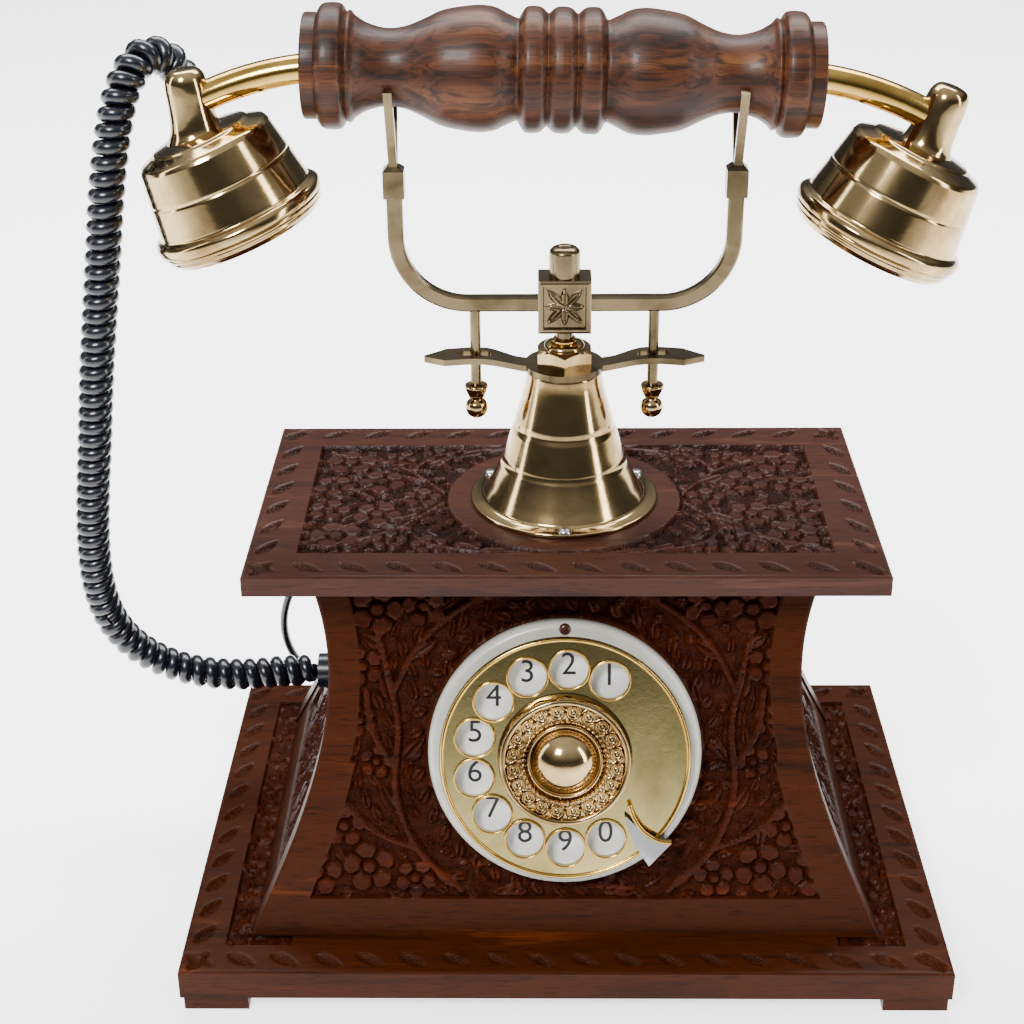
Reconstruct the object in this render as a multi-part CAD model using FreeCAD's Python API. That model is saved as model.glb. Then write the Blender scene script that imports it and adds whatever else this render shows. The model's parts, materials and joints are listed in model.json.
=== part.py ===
"""Carved wooden cradle telephone with a rotary dial, in millimetres.

The origin is on the surface that the four feet stand on, under the middle of the base.
+Z is up, +X is to the right of somebody facing the dial, and the dial faces -Y.
"""
import FreeCAD
import Part
import math
import os

V = FreeCAD.Vector
X_AXIS = V(1, 0, 0)
Y_AXIS = V(0, 1, 0)
Z_AXIS = V(0, 0, 1)

# ---- wooden case -------------------------------------------------------------------------
base_width = 250.0
base_depth = 174.0
base_thick = 10.5
base_corner_r = 3.0
foot_height = 5.5
foot_side = 21.0
foot_inset = 1.0
base_well_width = 120.0
base_well_depth = 70.0

case_height = 121.2
case_bottom_depth = 138.0
panel_lean = 16.1
panel_thick = 9.0
side_thick = 8.0
side_inset = 0.8
half_width_bottom = 103.7
half_width_low = 91.5
half_width_mid = 80.2
half_width_waist = 76.0
half_width_top = 84.0

top_width = 199.6
top_depth = 111.0
top_thick = 6.8
top_corner_r = 2.5

cover_thick = 2.5
cover_lap = 6.0
cover_screw_r = 1.6
cover_head_r = 3.0
cover_head_high = 1.6

# ---- dial --------------------------------------------------------------------------------
dial_up_panel = 64.3
dial_ring_r = 44.0
dial_ring_high = 5.0
dial_can_r = 35.0
dial_can_wall = 1.8
dial_can_deep = 13.0
dial_hole_gap = 0.6
plate_r = 37.5
plate_thick = 1.0
wheel_r = 40.2
wheel_low = 8.4
wheel_thick = 1.4
wheel_bead_r = 1.2
finger_hole_r = 6.0
finger_hole_lip = 0.8
finger_hole_circle_r = 29.6
finger_hole_pitch = 26.1
finger_hole_first = 61.5
finger_holes = 10
hub_r = 21.6
hub_rim = 3.2
hub_high = 4.6
hub_dome_r = 10.4
hub_dome_high = 8.6
shaft_r = 3.0
shaft_run = 0.05
stop_angle = -43.0
stop_tip_r = 26.5
stop_gap = 0.8
stop_thick = 1.3
gear_module = 0.8
gear_teeth = 48
pinion_teeth = 12
gear_thick = 2.2
gear_play = 0.30
governor_drum_r = 8.0
governor_drum_high = 7.0

# ---- column and guide bar ----------------------------------------------------------------
flange_r = 30.8
flange_thick = 1.4
bell_foot_r = 25.7
bell_mid_r = 17.6
bell_top_r = 11.9
bell_mid_z = 23.0
bell_top_z = 46.0
bell_wall = 2.4
flange_screw_circle_r = 28.3
flange_screw_r = 1.4
flange_screw_head_r = 2.3
flange_screw_room = 0.1
stem_r = 4.7
stem_above_bar = 8.5
stem_below_top = 11.0
nut_across_flats = 17.0
nut_thick = 5.5
nut_play = 0.05
bar_ring_r = 12.7
bar_thick = 2.0
bar_half_length = 45.0
bar_rise = 3.0
guide_spacing = 56.6
guide_slot_length = 10.4
guide_slot_play = 0.3

# ---- cradle ------------------------------------------------------------------------------
cradle_travel = 8.0
plunger_r = 2.7
plunger_run = 0.06
plunger_below_case_top = 65.2
block_width = 16.7
block_depth = 12.0
block_high = 17.5
block_gap = 3.2
finial_r = 4.85
finial_high = 9.6
arm_reach = 52.4
arm_bend_r = 22.0
arm_width = 4.9
arm_deep = 4.0
arm_edge = 0.9
arm_above_block_foot = 8.4
arm_top_above_axis = 34.8
knuckle_side = 6.5
knuckle_high = 10.0
prong_length = 29.0
prong_wide = 2.6
prong_thick = 1.9
prong_gap = 0.6
guide_rod_r = 1.7
knob_cup_r = 3.8
knob_ball_r = 3.6
knob_below_bar = 8.6
spring_r = 4.4
spring_wire_r = 0.55
collar_r = 6.0
collar_thick = 3.0

# ---- hook switch -------------------------------------------------------------------------
bracket_half_gap = 9.0
bracket_sheet = 1.5
bracket_floor_below = 53.2
bracket_height = 75.2
bracket_left = -14.0
bracket_right = 24.0
lever_pivot_x = 18.0
lever_thick = 2.5
lever_tip_x = -4.0
lever_hub_r = 4.0
lever_pin_r = 1.5
lever_gap = 0.3

# ---- handset -----------------------------------------------------------------------------
handset_shift = -1.0
handset_above_knuckles = 28.5
handset_tilt = 1.4
grip_half = 76.9
grip_neck_at = 52.3
grip_neck_r = 11.4
grip_belly_r = 18.5
grip_bead_half = 4.4
grip_groove_r = 16.4
grip_ring_r = 18.5
grip_step_r = 15.6
tube_r = 4.5
tube_bend_r = 100.0
tube_bend_from = 64.0
tube_bend_deg = 29.0
tube_bore_gap = 0.05
cup_lean = 23.5
cup_at = 98.0
cup_drop = 48.0
cup_lip_r = 27.5
cup_lip_high = 4.0
cup_wall_low_r = 24.9
cup_wall_high_r = 21.4
cup_high = 25.0
cup_shoulder_r = 16.0
cup_shoulder_high = 4.0
cup_wall = 2.0
rim_r = 26.6
rim_foot_r = 24.3
rim_high = 4.4
rim_wall = 3.0
cap_r = 19.0
cap_proud = 2.0
capsule_r = 18.0
capsule_high = 9.0
horn_r = 6.8
horn_foot_r = 8.6
horn_high = 21.0
horn_lean_left = 9.0
horn_lean_right = 19.0

# ---- cords -------------------------------------------------------------------------------
coil_cord_r = 5.85
coil_wire_r = 2.35
line_cord_r = 1.5
line_boot_length = 12.0
line_exit_x = -60.0
line_exit_z = 85.0
cord_exit_y = 30.0
cord_exit_z = 57.8
grommet_r = 6.4
grommet_bore_r = 3.0
grommet_proud = 4.6
gland_r = 4.2
gland_bore_r = 2.4
gland_length = 6.2
gland_out = 111.5
gland_back = 4.8
gland_drop = -18.5
wound_inner_r = 13.0
wound_outer_r = 23.0
wound_high = 12.0
wound_x = 0.0
wound_y = 126.0
plug_length = 21.0
plug_width = 9.6
plug_high = 7.6

# ---- shared finish -----------------------------------------------------------------------
dome_flat_r = 0.5

# ---- worked-out places -------------------------------------------------------------------
base_top = foot_height + base_thick
case_top = base_top + case_height
top_z = case_top + top_thick
lean = math.radians(panel_lean)
panel_bottom_y = case_bottom_depth / 2
bell_top = top_z + bell_top_z
bar_top = bell_top + bar_thick
stem_top = bar_top + stem_above_bar
block_foot = stem_top + block_gap
block_top = block_foot + block_high
arm_z = block_foot + arm_above_block_foot
knuckle_foot = arm_z + arm_top_above_axis
knuckle_top = knuckle_foot + knuckle_high
handset_axis_z = knuckle_top + handset_above_knuckles
plunger_bottom_z = case_top - plunger_below_case_top
bracket_floor_z = case_top - bracket_floor_below
bracket_bottom_z = case_top - bracket_height
guide_x = guide_spacing / 2
parts = {}


# ---- small shape helpers -----------------------------------------------------------------
def cylinder(radius, height, at=V(0, 0, 0), along=Z_AXIS):
    return Part.makeCylinder(radius, height, at, along)


def ring(outer, inner, height, at=V(0, 0, 0), along=Z_AXIS):
    return cylinder(outer, height, at, along).cut(cylinder(inner, height, at, along))


def block(size_x, size_y, size_z, middle_x, middle_y, low_z):
    corner = V(middle_x - size_x / 2, middle_y - size_y / 2, low_z)
    return Part.makeBox(size_x, size_y, size_z, corner)


def rounded_block(size_x, size_y, size_z, middle_x, middle_y, low_z, radius):
    solid = block(size_x, size_y, size_z, middle_x, middle_y, low_z)
    upright = [e for e in solid.Edges if abs(e.tangentAt(0).z) > 0.99]
    return solid.makeFillet(radius, upright)


def turned(profile):
    """A turned solid about Z. Each profile step is (radius, height) for a straight line,
    or ((radius, height), (radius, height)) for an arc through the first point to the second.
    A dome's arc stops at dome_flat_r from the axis."""
    edges = []
    start = None
    for step in profile:
        if isinstance(step[0], tuple):
            middle, end = step
            edges.append(Part.Arc(flat(start), flat(middle), flat(end)).toShape())
        else:
            end = step
            if start is not None:
                edges.append(Part.LineSegment(flat(start), flat(end)).toShape())
        start = end
    first = profile[0]
    if flat(start).distanceToPoint(flat(first)) > 1e-6:
        edges.append(Part.LineSegment(flat(start), flat(first)).toShape())
    face = Part.Face(Part.Wire(edges))
    return face.revolve(V(0, 0, 0), Z_AXIS, 360)


def flat(point):
    return V(point[0], 0, point[1])


def prism(points, depth_vector):
    """A straight-sided solid: a closed polygon of points pushed along a vector."""
    wire = Part.makePolygon(list(points) + [points[0]])
    return Part.Face(wire).extrude(depth_vector)


def hexagon(across_flats, height, low_z, first_corner):
    radius = across_flats / math.sqrt(3)
    turns = [math.radians(first_corner + 60 * k) for k in range(6)]
    corners = [V(radius * math.cos(a), radius * math.sin(a), low_z) for a in turns]
    return prism(corners, V(0, 0, height))


def placed(shape, placement):
    moved = shape.copy()
    moved.Placement = placement.multiply(moved.Placement)
    return moved


def mirrored(shape):
    return shape.mirror(V(0, 0, 0), X_AXIS)


def save(name, shape):
    if shape.ShapeType != "Compound" or len(shape.Solids) == 1:
        shape = shape.Solids[0]
    parts[name] = shape
    shape.exportStep("parts/" + name + ".step")


def group(shapes):
    return Part.makeCompound([s.Solids[0] for s in shapes])


def cord_tube(points, radius, name):
    """A tube of straight runs joined by tangent arcs. Each arc is 0.45 of its shorter run deep."""
    edges = []
    start = points[0]
    radii = []
    for before, corner, after in zip(points, points[1:], points[2:]):
        back = (before - corner).normalize()
        ahead = (after - corner).normalize()
        turn = math.pi - back.getAngle(ahead)
        setback = 0.45 * min(before.distanceToPoint(corner), after.distanceToPoint(corner))
        bend_r = setback / math.tan(turn / 2)
        radii.append(round(bend_r, 1))
        arc_in = corner + back * setback
        arc_out = corner + ahead * setback
        inwards = (back + ahead).normalize()
        centre = corner + inwards * (bend_r / math.cos(turn / 2))
        edges.append(Part.LineSegment(start, arc_in).toShape())
        edges.append(Part.Arc(arc_in, centre - inwards * bend_r, arc_out).toShape())
        start = arc_out
    edges.append(Part.LineSegment(start, points[-1]).toShape())
    path = Part.Wire(edges)
    section = Part.Wire(Part.makeCircle(radius, points[0], points[1] - points[0]))
    tube = path.makePipeShell([section], True, True)
    expected = math.pi * radius * radius * path.Length
    print(name, "length", round(path.Length, 1), "bend radii", radii,
          "volume / section x length", round(tube.Volume / expected, 4))
    return tube


# ---- case --------------------------------------------------------------------------------
def side_curve(inset):
    """Half-width of the waisted case at five heights, less an inset."""
    rise = case_height
    return [
        (half_width_bottom - inset, base_top),
        (half_width_low - inset, base_top + 0.215 * rise),
        (half_width_mid - inset, base_top + 0.475 * rise),
        (half_width_waist - inset, base_top + 0.72 * rise),
        (half_width_top - inset, case_top),
    ]


def waisted_prism(inset, depth):
    """The case outline seen from the front, pushed through the whole depth."""
    right = Part.BSplineCurve()
    right.interpolate([V(x, -depth / 2, z) for x, z in side_curve(inset)])
    left = Part.BSplineCurve()
    left.interpolate([V(-x, -depth / 2, z) for x, z in side_curve(inset)])
    top = Part.LineSegment(right.EndPoint, left.EndPoint)
    bottom = Part.LineSegment(left.StartPoint, right.StartPoint)
    wire = Part.Wire([bottom.toShape(), right.toShape(), top.toShape(), left.toShape()])
    return Part.Face(wire).extrude(V(0, depth, 0))


def panel_y(z):
    """How far the leaning outer face of the front and rear panels stands from the middle."""
    return panel_bottom_y - (z - base_top) * math.tan(lean)


def leaning_slab(outer, inner):
    """A slab that leans like the rear panel, between two depths measured through its thickness."""
    shift_out = outer / math.cos(lean)
    shift_in = inner / math.cos(lean)
    corners = [
        V(-base_width, panel_y(base_top) - shift_out, base_top),
        V(-base_width, panel_y(base_top) - shift_in, base_top),
        V(-base_width, panel_y(case_top) - shift_in, case_top),
        V(-base_width, panel_y(case_top) - shift_out, case_top),
    ]
    return prism(corners, V(2 * base_width, 0, 0))


def between_panels():
    """The space between the front and rear panels."""
    low = panel_y(base_top) - panel_thick / math.cos(lean)
    high = panel_y(case_top) - panel_thick / math.cos(lean)
    corners = [V(-base_width, -low, base_top), V(-base_width, low, base_top),
               V(-base_width, high, case_top), V(-base_width, -high, case_top)]
    return prism(corners, V(2 * base_width, 0, 0))


def side_x(z, inset=0.0):
    """Outer half-width of a side panel at a height, read from its own curve."""
    curve = Part.BSplineCurve()
    curve.interpolate([V(x, 0, height) for x, height in side_curve(inset)])
    level = Part.Plane(V(0, 0, z), Z_AXIS)
    point = curve.intersect(level)[0][0]
    return point.X


dial_placement = FreeCAD.Placement(
    V(0, -panel_y(base_top) + dial_up_panel * math.sin(lean), base_top + dial_up_panel * math.cos(lean)),
    FreeCAD.Rotation(X_AXIS, 90 - panel_lean),
)


def on_dial(shape):
    """Takes a piece drawn about Z with its back on z = 0 to its place on the front panel."""
    return placed(shape, dial_placement)


def make_case():
    base = rounded_block(base_width, base_depth, base_thick, 0, 0, foot_height, base_corner_r)
    base = base.cut(block(base_well_width, base_well_depth, base_thick, 0, 0, foot_height))
    cover_x = base_well_width / 2 + cover_lap / 2
    cover_y = base_well_depth / 2 + cover_lap / 2
    screw_places = [V(sx * cover_x, sy * cover_y, 0) for sx in (-1, 1) for sy in (-1, 1)]
    cover_low = foot_height - cover_thick
    cover = block(base_well_width + 2 * cover_lap, base_well_depth + 2 * cover_lap, cover_thick, 0, 0, cover_low)
    screws = []
    for place in screw_places:
        hole = cylinder(cover_screw_r, cover_thick + 8.0, place + V(0, 0, cover_low))
        base = base.cut(hole)
        cover = cover.cut(hole)
        shank = cylinder(cover_screw_r, cover_thick + 8.0, place + V(0, 0, cover_low))
        head = cylinder(cover_head_r, cover_head_high, place + V(0, 0, cover_low - cover_head_high))
        screws.append(shank.fuse(head).removeSplitter())
    save("base_board", base)
    save("bottom_cover", cover)
    save("cover_screws", group(screws))

    foot_x = base_width / 2 - foot_inset - foot_side / 2
    foot_y = base_depth / 2 - foot_inset - foot_side / 2
    feet = [block(foot_side, foot_side, foot_height, sx * foot_x, sy * foot_y, 0)
            for sx in (-1, 1) for sy in (-1, 1)]
    save("base_feet", group(feet))

    outline = waisted_prism(0, base_depth)
    rear = leaning_slab(0, panel_thick).common(outline)
    front = rear.mirror(V(0, 0, 0), Y_AXIS)
    front = front.cut(on_dial(cylinder(dial_can_r + dial_hole_gap, 60, V(0, 0, -50))))
    exit_way = V(0, math.cos(lean), math.sin(lean))
    line_exit = V(line_exit_x, panel_y(line_exit_z), line_exit_z)
    rear = rear.cut(cylinder(grommet_bore_r + 1.4, 40, line_exit - exit_way * 20, exit_way))
    save("front_panel", front)
    save("rear_panel", rear)

    shell = waisted_prism(side_inset, base_depth).cut(waisted_prism(side_inset + side_thick, base_depth + 2))
    sides = shell.common(between_panels())
    right_half = block(base_width, 2 * base_depth, 400, base_width / 2, 0, 0)
    right = sides.common(right_half)
    left = mirrored(right)
    left = left.cut(cylinder(grommet_bore_r + 1.4, 60, V(-120, cord_exit_y, cord_exit_z), X_AXIS))
    save("right_panel", right)
    save("left_panel", left)

    top = rounded_block(top_width, top_depth, top_thick, 0, 0, case_top, top_corner_r)
    top = top.cut(cylinder(stem_r + 0.1, top_thick, V(0, 0, case_top)))
    for place in flange_screw_places():
        top = top.cut(cylinder(flange_screw_r, 5.0, place + V(0, 0, top_z - 5.0)))
    save("top_board", top)


def flange_screw_places():
    return [
        V(flange_screw_circle_r * math.cos(math.radians(a)), flange_screw_circle_r * math.sin(math.radians(a)), 0)
        for a in (-90, 30, 150)
    ]


# ---- column ------------------------------------------------------------------------------
def make_column():
    inner = bell_wall
    bell = turned([
        (flange_r, 0), (flange_r, flange_thick), (bell_foot_r + 1.2, flange_thick),
        ((bell_mid_r, bell_mid_z), (bell_top_r, bell_top_z)),
        (stem_r + 0.1, bell_top_z), (stem_r + 0.1, bell_top_z - 3.0), (bell_top_r - inner, bell_top_z - 3.0),
        ((bell_mid_r - inner, bell_mid_z), (bell_foot_r + 1.2 - inner, flange_thick)),
        (bell_foot_r + 1.2 - inner, 0),
    ])
    bell.translate(V(0, 0, top_z))
    screws = []
    for place in flange_screw_places():
        bell = bell.cut(cylinder(flange_screw_r, flange_thick + 1, place + V(0, 0, top_z)))
        seat = place + V(0, 0, top_z + flange_thick)
        bell = bell.cut(cylinder(flange_screw_head_r + flange_screw_room, bell_mid_z, seat))
        shank = cylinder(flange_screw_r, 5.0 + flange_thick, place + V(0, 0, top_z - 5.0))
        head = turned([(0, 0), (flange_screw_head_r, 0),
                       ((flange_screw_head_r * 0.75, 1.0), (dome_flat_r, 1.4)), (0, 1.4)])
        head.translate(place + V(0, 0, top_z + flange_thick))
        screws.append(shank.fuse(head).removeSplitter())
    save("column_bell", bell)
    save("flange_screws", group(screws))

    stem_low = case_top - stem_below_top
    bore = plunger_r + plunger_run
    stem = turned([
        (bore, stem_low), (stem_r, stem_low), (stem_r, stem_top - 1.6), (stem_r - 0.7, stem_top - 1.6),
        (stem_r - 0.7, stem_top - 0.6), (stem_r - 1.3, stem_top), (bore, stem_top),
    ])
    save("stem_tube", stem)
    nut_bore = cylinder(stem_r + nut_play, 60, V(0, 0, 0))
    lower = hexagon(nut_across_flats, nut_thick, case_top - nut_thick, 0)
    lower_bore = cylinder(stem_r + nut_play, nut_thick, V(0, 0, case_top - nut_thick))
    save("stem_nut", lower.cut(lower_bore))
    crown = turned([
        (0, bar_top), (10.2, bar_top), (10.2, bar_top + nut_thick - 1.4), (8.2, bar_top + nut_thick),
        (0, bar_top + nut_thick),
    ])
    upper = hexagon(nut_across_flats, nut_thick, bar_top, 30).common(crown)
    dome = turned([(0, 0), (6.6, 0), ((6.1, 1.0), (5.0, 1.5)), (0, 1.5)])
    dome.translate(V(0, 0, bar_top + nut_thick))
    nut_bore.translate(V(0, 0, bar_top - 1))
    save("column_nut", upper.fuse(dome).removeSplitter().cut(nut_bore))

    save("guide_bar", guide_bar())


def guide_bar():
    """A flat strip with a ring in its middle, that rises to its slots and ends in points."""
    mid = bell_top + bar_thick / 2
    upper = [(bar_ring_r - 1.5, 0), (bar_ring_r + 4.5, 0.35), (guide_x - 5, 0.9), (guide_x + 4, 1.0),
             (bar_half_length, 0.72)]
    centre_line = [V(x, -20, mid + share * bar_rise) for x, share in upper]
    arms = []
    for sign in (-1, 1):
        path_low = Part.BSplineCurve()
        path_low.interpolate([V(sign * p.x, p.y, p.z - bar_thick / 2) for p in centre_line])
        path_high = Part.BSplineCurve()
        path_high.interpolate([V(sign * p.x, p.y, p.z + bar_thick / 2) for p in centre_line])
        inner_end = Part.LineSegment(path_low.StartPoint, path_high.StartPoint)
        outer_end = Part.LineSegment(path_low.EndPoint, path_high.EndPoint)
        wire = Part.Wire([path_low.toShape(), outer_end.toShape(), path_high.toShape(), inner_end.toShape()])
        band = Part.Face(wire).extrude(V(0, 40, 0))
        half = [(bar_ring_r - 1.5, 3.6), (bar_ring_r + 3.5, 3.6), (guide_x - 4, 5.0), (bar_half_length - 7, 5.0),
                (bar_half_length - 0.2, 0.5)]
        corners = [V(sign * x, -y, mid - 20) for x, y in half] + [V(sign * x, y, mid - 20) for x, y in half[::-1]]
        arm = band.common(prism(corners, V(0, 0, 40)))
        slot_half = guide_rod_r + guide_slot_play
        straight = guide_slot_length - 2 * slot_half
        slot = block(straight, 2 * slot_half, 40, sign * guide_x, 0, mid - 20)
        for end in (-1, 1):
            slot = slot.fuse(cylinder(slot_half, 40, V(sign * guide_x + end * straight / 2, 0, mid - 20)))
        arms.append(arm.cut(slot))
    bar = ring(bar_ring_r, stem_r + 0.1, bar_thick, V(0, 0, bell_top))
    return bar.fuse(arms[0]).fuse(arms[1]).removeSplitter()


# ---- cradle ------------------------------------------------------------------------------
def half_arm():
    """The right arm: a bar out of the block, a bend up, and a post to the knuckle."""
    start_x = block_width / 2
    bend_x = arm_reach - arm_bend_r
    bend_z = arm_z + arm_bend_r
    half = arm_width / 2
    diagonal = math.sqrt(0.5)

    def on_bend(radius, angle):
        return V(bend_x + radius * math.cos(angle), -arm_deep / 2, bend_z + radius * math.sin(angle))

    outer_r = arm_bend_r + half
    inner_r = arm_bend_r - half
    corner = -math.pi / 4
    outer = Part.Arc(on_bend(outer_r, -math.pi / 2), on_bend(outer_r, corner), on_bend(outer_r, 0))
    inner = Part.Arc(on_bend(inner_r, 0), on_bend(inner_r, corner), on_bend(inner_r, -math.pi / 2))
    y = -arm_deep / 2
    points = [V(start_x, y, arm_z - half), on_bend(outer_r, -math.pi / 2), on_bend(outer_r, 0),
              V(arm_reach + half, y, knuckle_foot), V(arm_reach - half, y, knuckle_foot),
              on_bend(inner_r, 0), on_bend(inner_r, -math.pi / 2), V(start_x, y, arm_z + half)]
    line = Part.LineSegment
    wire = Part.Wire([
        line(points[0], points[1]).toShape(), outer.toShape(), line(points[2], points[3]).toShape(),
        line(points[3], points[4]).toShape(), line(points[4], points[5]).toShape(), inner.toShape(),
        line(points[6], points[7]).toShape(), line(points[7], points[0]).toShape(),
    ])
    arm = Part.Face(wire).extrude(V(0, arm_deep, 0))
    long_edges = [e for e in arm.Edges
                  if abs(abs(e.CenterOfMass.y) - arm_deep / 2) < 1e-6
                  and abs(e.CenterOfMass.x - start_x) > 1e-6 and abs(e.CenterOfMass.z - knuckle_foot) > 1e-6]
    arm = arm.makeChamfer(arm_edge * diagonal, long_edges)
    rod_seat = cylinder(guide_rod_r, 3.0, V(guide_x, 0, arm_z - half))
    return arm.cut(rod_seat)


def neck_height(side):
    """Height of the handset's axis over one fork, side -1 for left and 1 for right."""
    along = side * arm_reach - handset_shift
    return handset_axis_z - along * math.tan(math.radians(handset_tilt))


def fork(side):
    """A knuckle with a chamfered top and two flat prongs that the neck of the grip rests in."""
    x = side * arm_reach
    knuckle = block(knuckle_side, knuckle_side, knuckle_high, x, 0, knuckle_foot)
    top_edges = [e for e in knuckle.Edges if abs(e.CenterOfMass.z - knuckle_top) < 1e-6]
    knuckle = knuckle.makeChamfer(1.5, top_edges)
    root_z = knuckle_top - 0.6
    reach = neck_height(side) - root_z
    spread = math.asin((grip_neck_r + prong_gap) / reach)
    shape = knuckle
    for sign in (-1, 1):
        prong = block(prong_wide, prong_thick, prong_length, 0, 0, 0)
        prong.translate(V(0, sign * prong_thick / 2, 0))
        turn = FreeCAD.Placement(V(x, 0, root_z), FreeCAD.Rotation(X_AXIS, -sign * math.degrees(spread)))
        shape = shape.fuse(placed(prong, turn))
    return shape.removeSplitter()


def make_cradle():
    body = block(block_width, block_depth, block_high, 0, 0, block_foot)
    body = body.makeChamfer(0.8, [e for e in body.Edges if abs(e.tangentAt(0).z) > 0.99])
    body = body.cut(cylinder(plunger_r + plunger_run, block_high, V(0, 0, block_foot)))
    save("cradle_block", body)
    socket = cylinder(plunger_r + plunger_run, 5.0, V(0, 0, block_top))
    finial = turned([(0, 0), (finial_r, 0), (finial_r, finial_high - 1.5), (finial_r - 1.4, finial_high),
                     (0, finial_high)])
    finial.translate(V(0, 0, block_top))
    save("cradle_finial", finial.cut(socket))
    plunger = turned([(0, plunger_bottom_z), (plunger_r - 0.8, plunger_bottom_z),
                      (plunger_r, plunger_bottom_z + 0.8), (plunger_r, block_top + 5.0), (0, block_top + 5.0)])
    save("plunger_rod", plunger)
    right = half_arm()
    save("right_arm", right)
    save("left_arm", mirrored(right))
    save("right_fork", fork(1))
    save("left_fork", fork(-1))

    rod_foot = bell_top + bar_rise - knob_below_bar - 8.0
    rod_top = arm_z - arm_width / 2 + 3.0
    rods = [cylinder(guide_rod_r, rod_top - rod_foot, V(s * guide_x, 0, rod_foot)) for s in (-1, 1)]
    save("guide_rods", group(rods))
    knob_top = bell_top + bar_rise - knob_below_bar
    ball_z = knob_top - 8.0
    outline = [
        (guide_rod_r, knob_top - 0.8), (knob_cup_r - 0.3, knob_top), (knob_cup_r, knob_top - 0.6),
        (knob_cup_r - 0.4, knob_top - 2.0), (knob_ball_r * 0.66, knob_top - 4.6),
        ((knob_ball_r, ball_z), (dome_flat_r, ball_z - knob_ball_r)), (0, ball_z - knob_ball_r),
        (0, rod_foot), (guide_rod_r, rod_foot),
    ]
    knobs = []
    for s in (-1, 1):
        knob = turned(outline)
        knob.translate(V(s * guide_x, 0, 0))
        knobs.append(knob)
    save("guide_knobs", group(knobs))

    collar_low = case_top - stem_below_top - cradle_travel - 3.0 - collar_thick
    save("plunger_collar", ring(collar_r, plunger_r + plunger_run, collar_thick, V(0, 0, collar_low)))
    spring_low = bracket_floor_z + bracket_sheet
    spring = ring(spring_r + spring_wire_r, spring_r - spring_wire_r, collar_low - spring_low, V(0, 0, spring_low))
    save("cradle_spring", spring)


def make_hook_switch():
    depth = 2 * bracket_half_gap + 2 * bracket_sheet
    width = bracket_right - bracket_left
    middle = (bracket_right + bracket_left) / 2
    frame = block(width, depth, case_top - bracket_bottom_z, middle, 0, bracket_bottom_z)
    frame = frame.cut(block(width + 2, 2 * bracket_half_gap, case_top, middle, 0, bracket_bottom_z))
    ears = block(width, depth + 14, bracket_sheet, middle, 0, case_top - bracket_sheet)
    ears = ears.cut(block(width, 2 * bracket_half_gap, 10, middle, 0, case_top - 8))
    floor = block(30.0, 2 * bracket_half_gap, bracket_sheet, 0, 0, bracket_floor_z)
    floor = floor.cut(cylinder(plunger_r + 0.3, 10, V(0, 0, bracket_floor_z - 2)))
    pivot_z = plunger_bottom_z - lever_gap - lever_thick / 2
    pin = cylinder(lever_pin_r, depth, V(lever_pivot_x, -depth / 2, pivot_z), Y_AXIS)
    save("hook_bracket", frame.fuse(ears).fuse(floor).fuse(pin).removeSplitter())

    lever_wide = 2 * bracket_half_gap - 8.0
    low_z = pivot_z - lever_thick / 2
    arm = block(lever_pivot_x - lever_tip_x, 8.0, lever_thick, (lever_pivot_x + lever_tip_x) / 2, 0, low_z)
    hub = cylinder(lever_hub_r, lever_wide, V(lever_pivot_x, -lever_wide / 2, pivot_z), Y_AXIS)
    bore = cylinder(lever_pin_r + shaft_run, depth, V(lever_pivot_x, -depth / 2, pivot_z), Y_AXIS)
    save("hook_lever", arm.fuse(hub).removeSplitter().cut(bore))

    contact_x = lever_tip_x - 5.0
    stack = block(8.0, 2 * bracket_half_gap, 5.0, contact_x - 1, 0, bracket_bottom_z)
    leaf = block(12.0, 6.0, 0.5, contact_x + 3.0, 0, low_z - 1.0)
    post = block(3.0, 6.0, low_z - 1.0 - bracket_bottom_z, contact_x - 1.5, 0, bracket_bottom_z)
    save("hook_contacts", stack.fuse(post).fuse(leaf).removeSplitter())


# ---- dial --------------------------------------------------------------------------------
def gear_outline(teeth, tooth_share):
    """Corners of a spur gear with straight-flanked teeth, centred on a tooth at angle 0."""
    pitch_r = gear_module * teeth / 2
    tip_r = pitch_r + 0.8 * gear_module
    root_r = pitch_r - 1.15 * gear_module
    step = 2 * math.pi / teeth
    corners = []
    for k in range(teeth):
        for radius, share in ((root_r, -0.62), (pitch_r, -0.5), (tip_r, -0.26),
                              (tip_r, 0.26), (pitch_r, 0.5), (root_r, 0.62)):
            angle = k * step + share * tooth_share * step
            corners.append(V(radius * math.cos(angle), radius * math.sin(angle), 0))
    return corners


def number_hole_angle(k):
    return math.radians(finger_hole_first + k * finger_hole_pitch)


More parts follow.
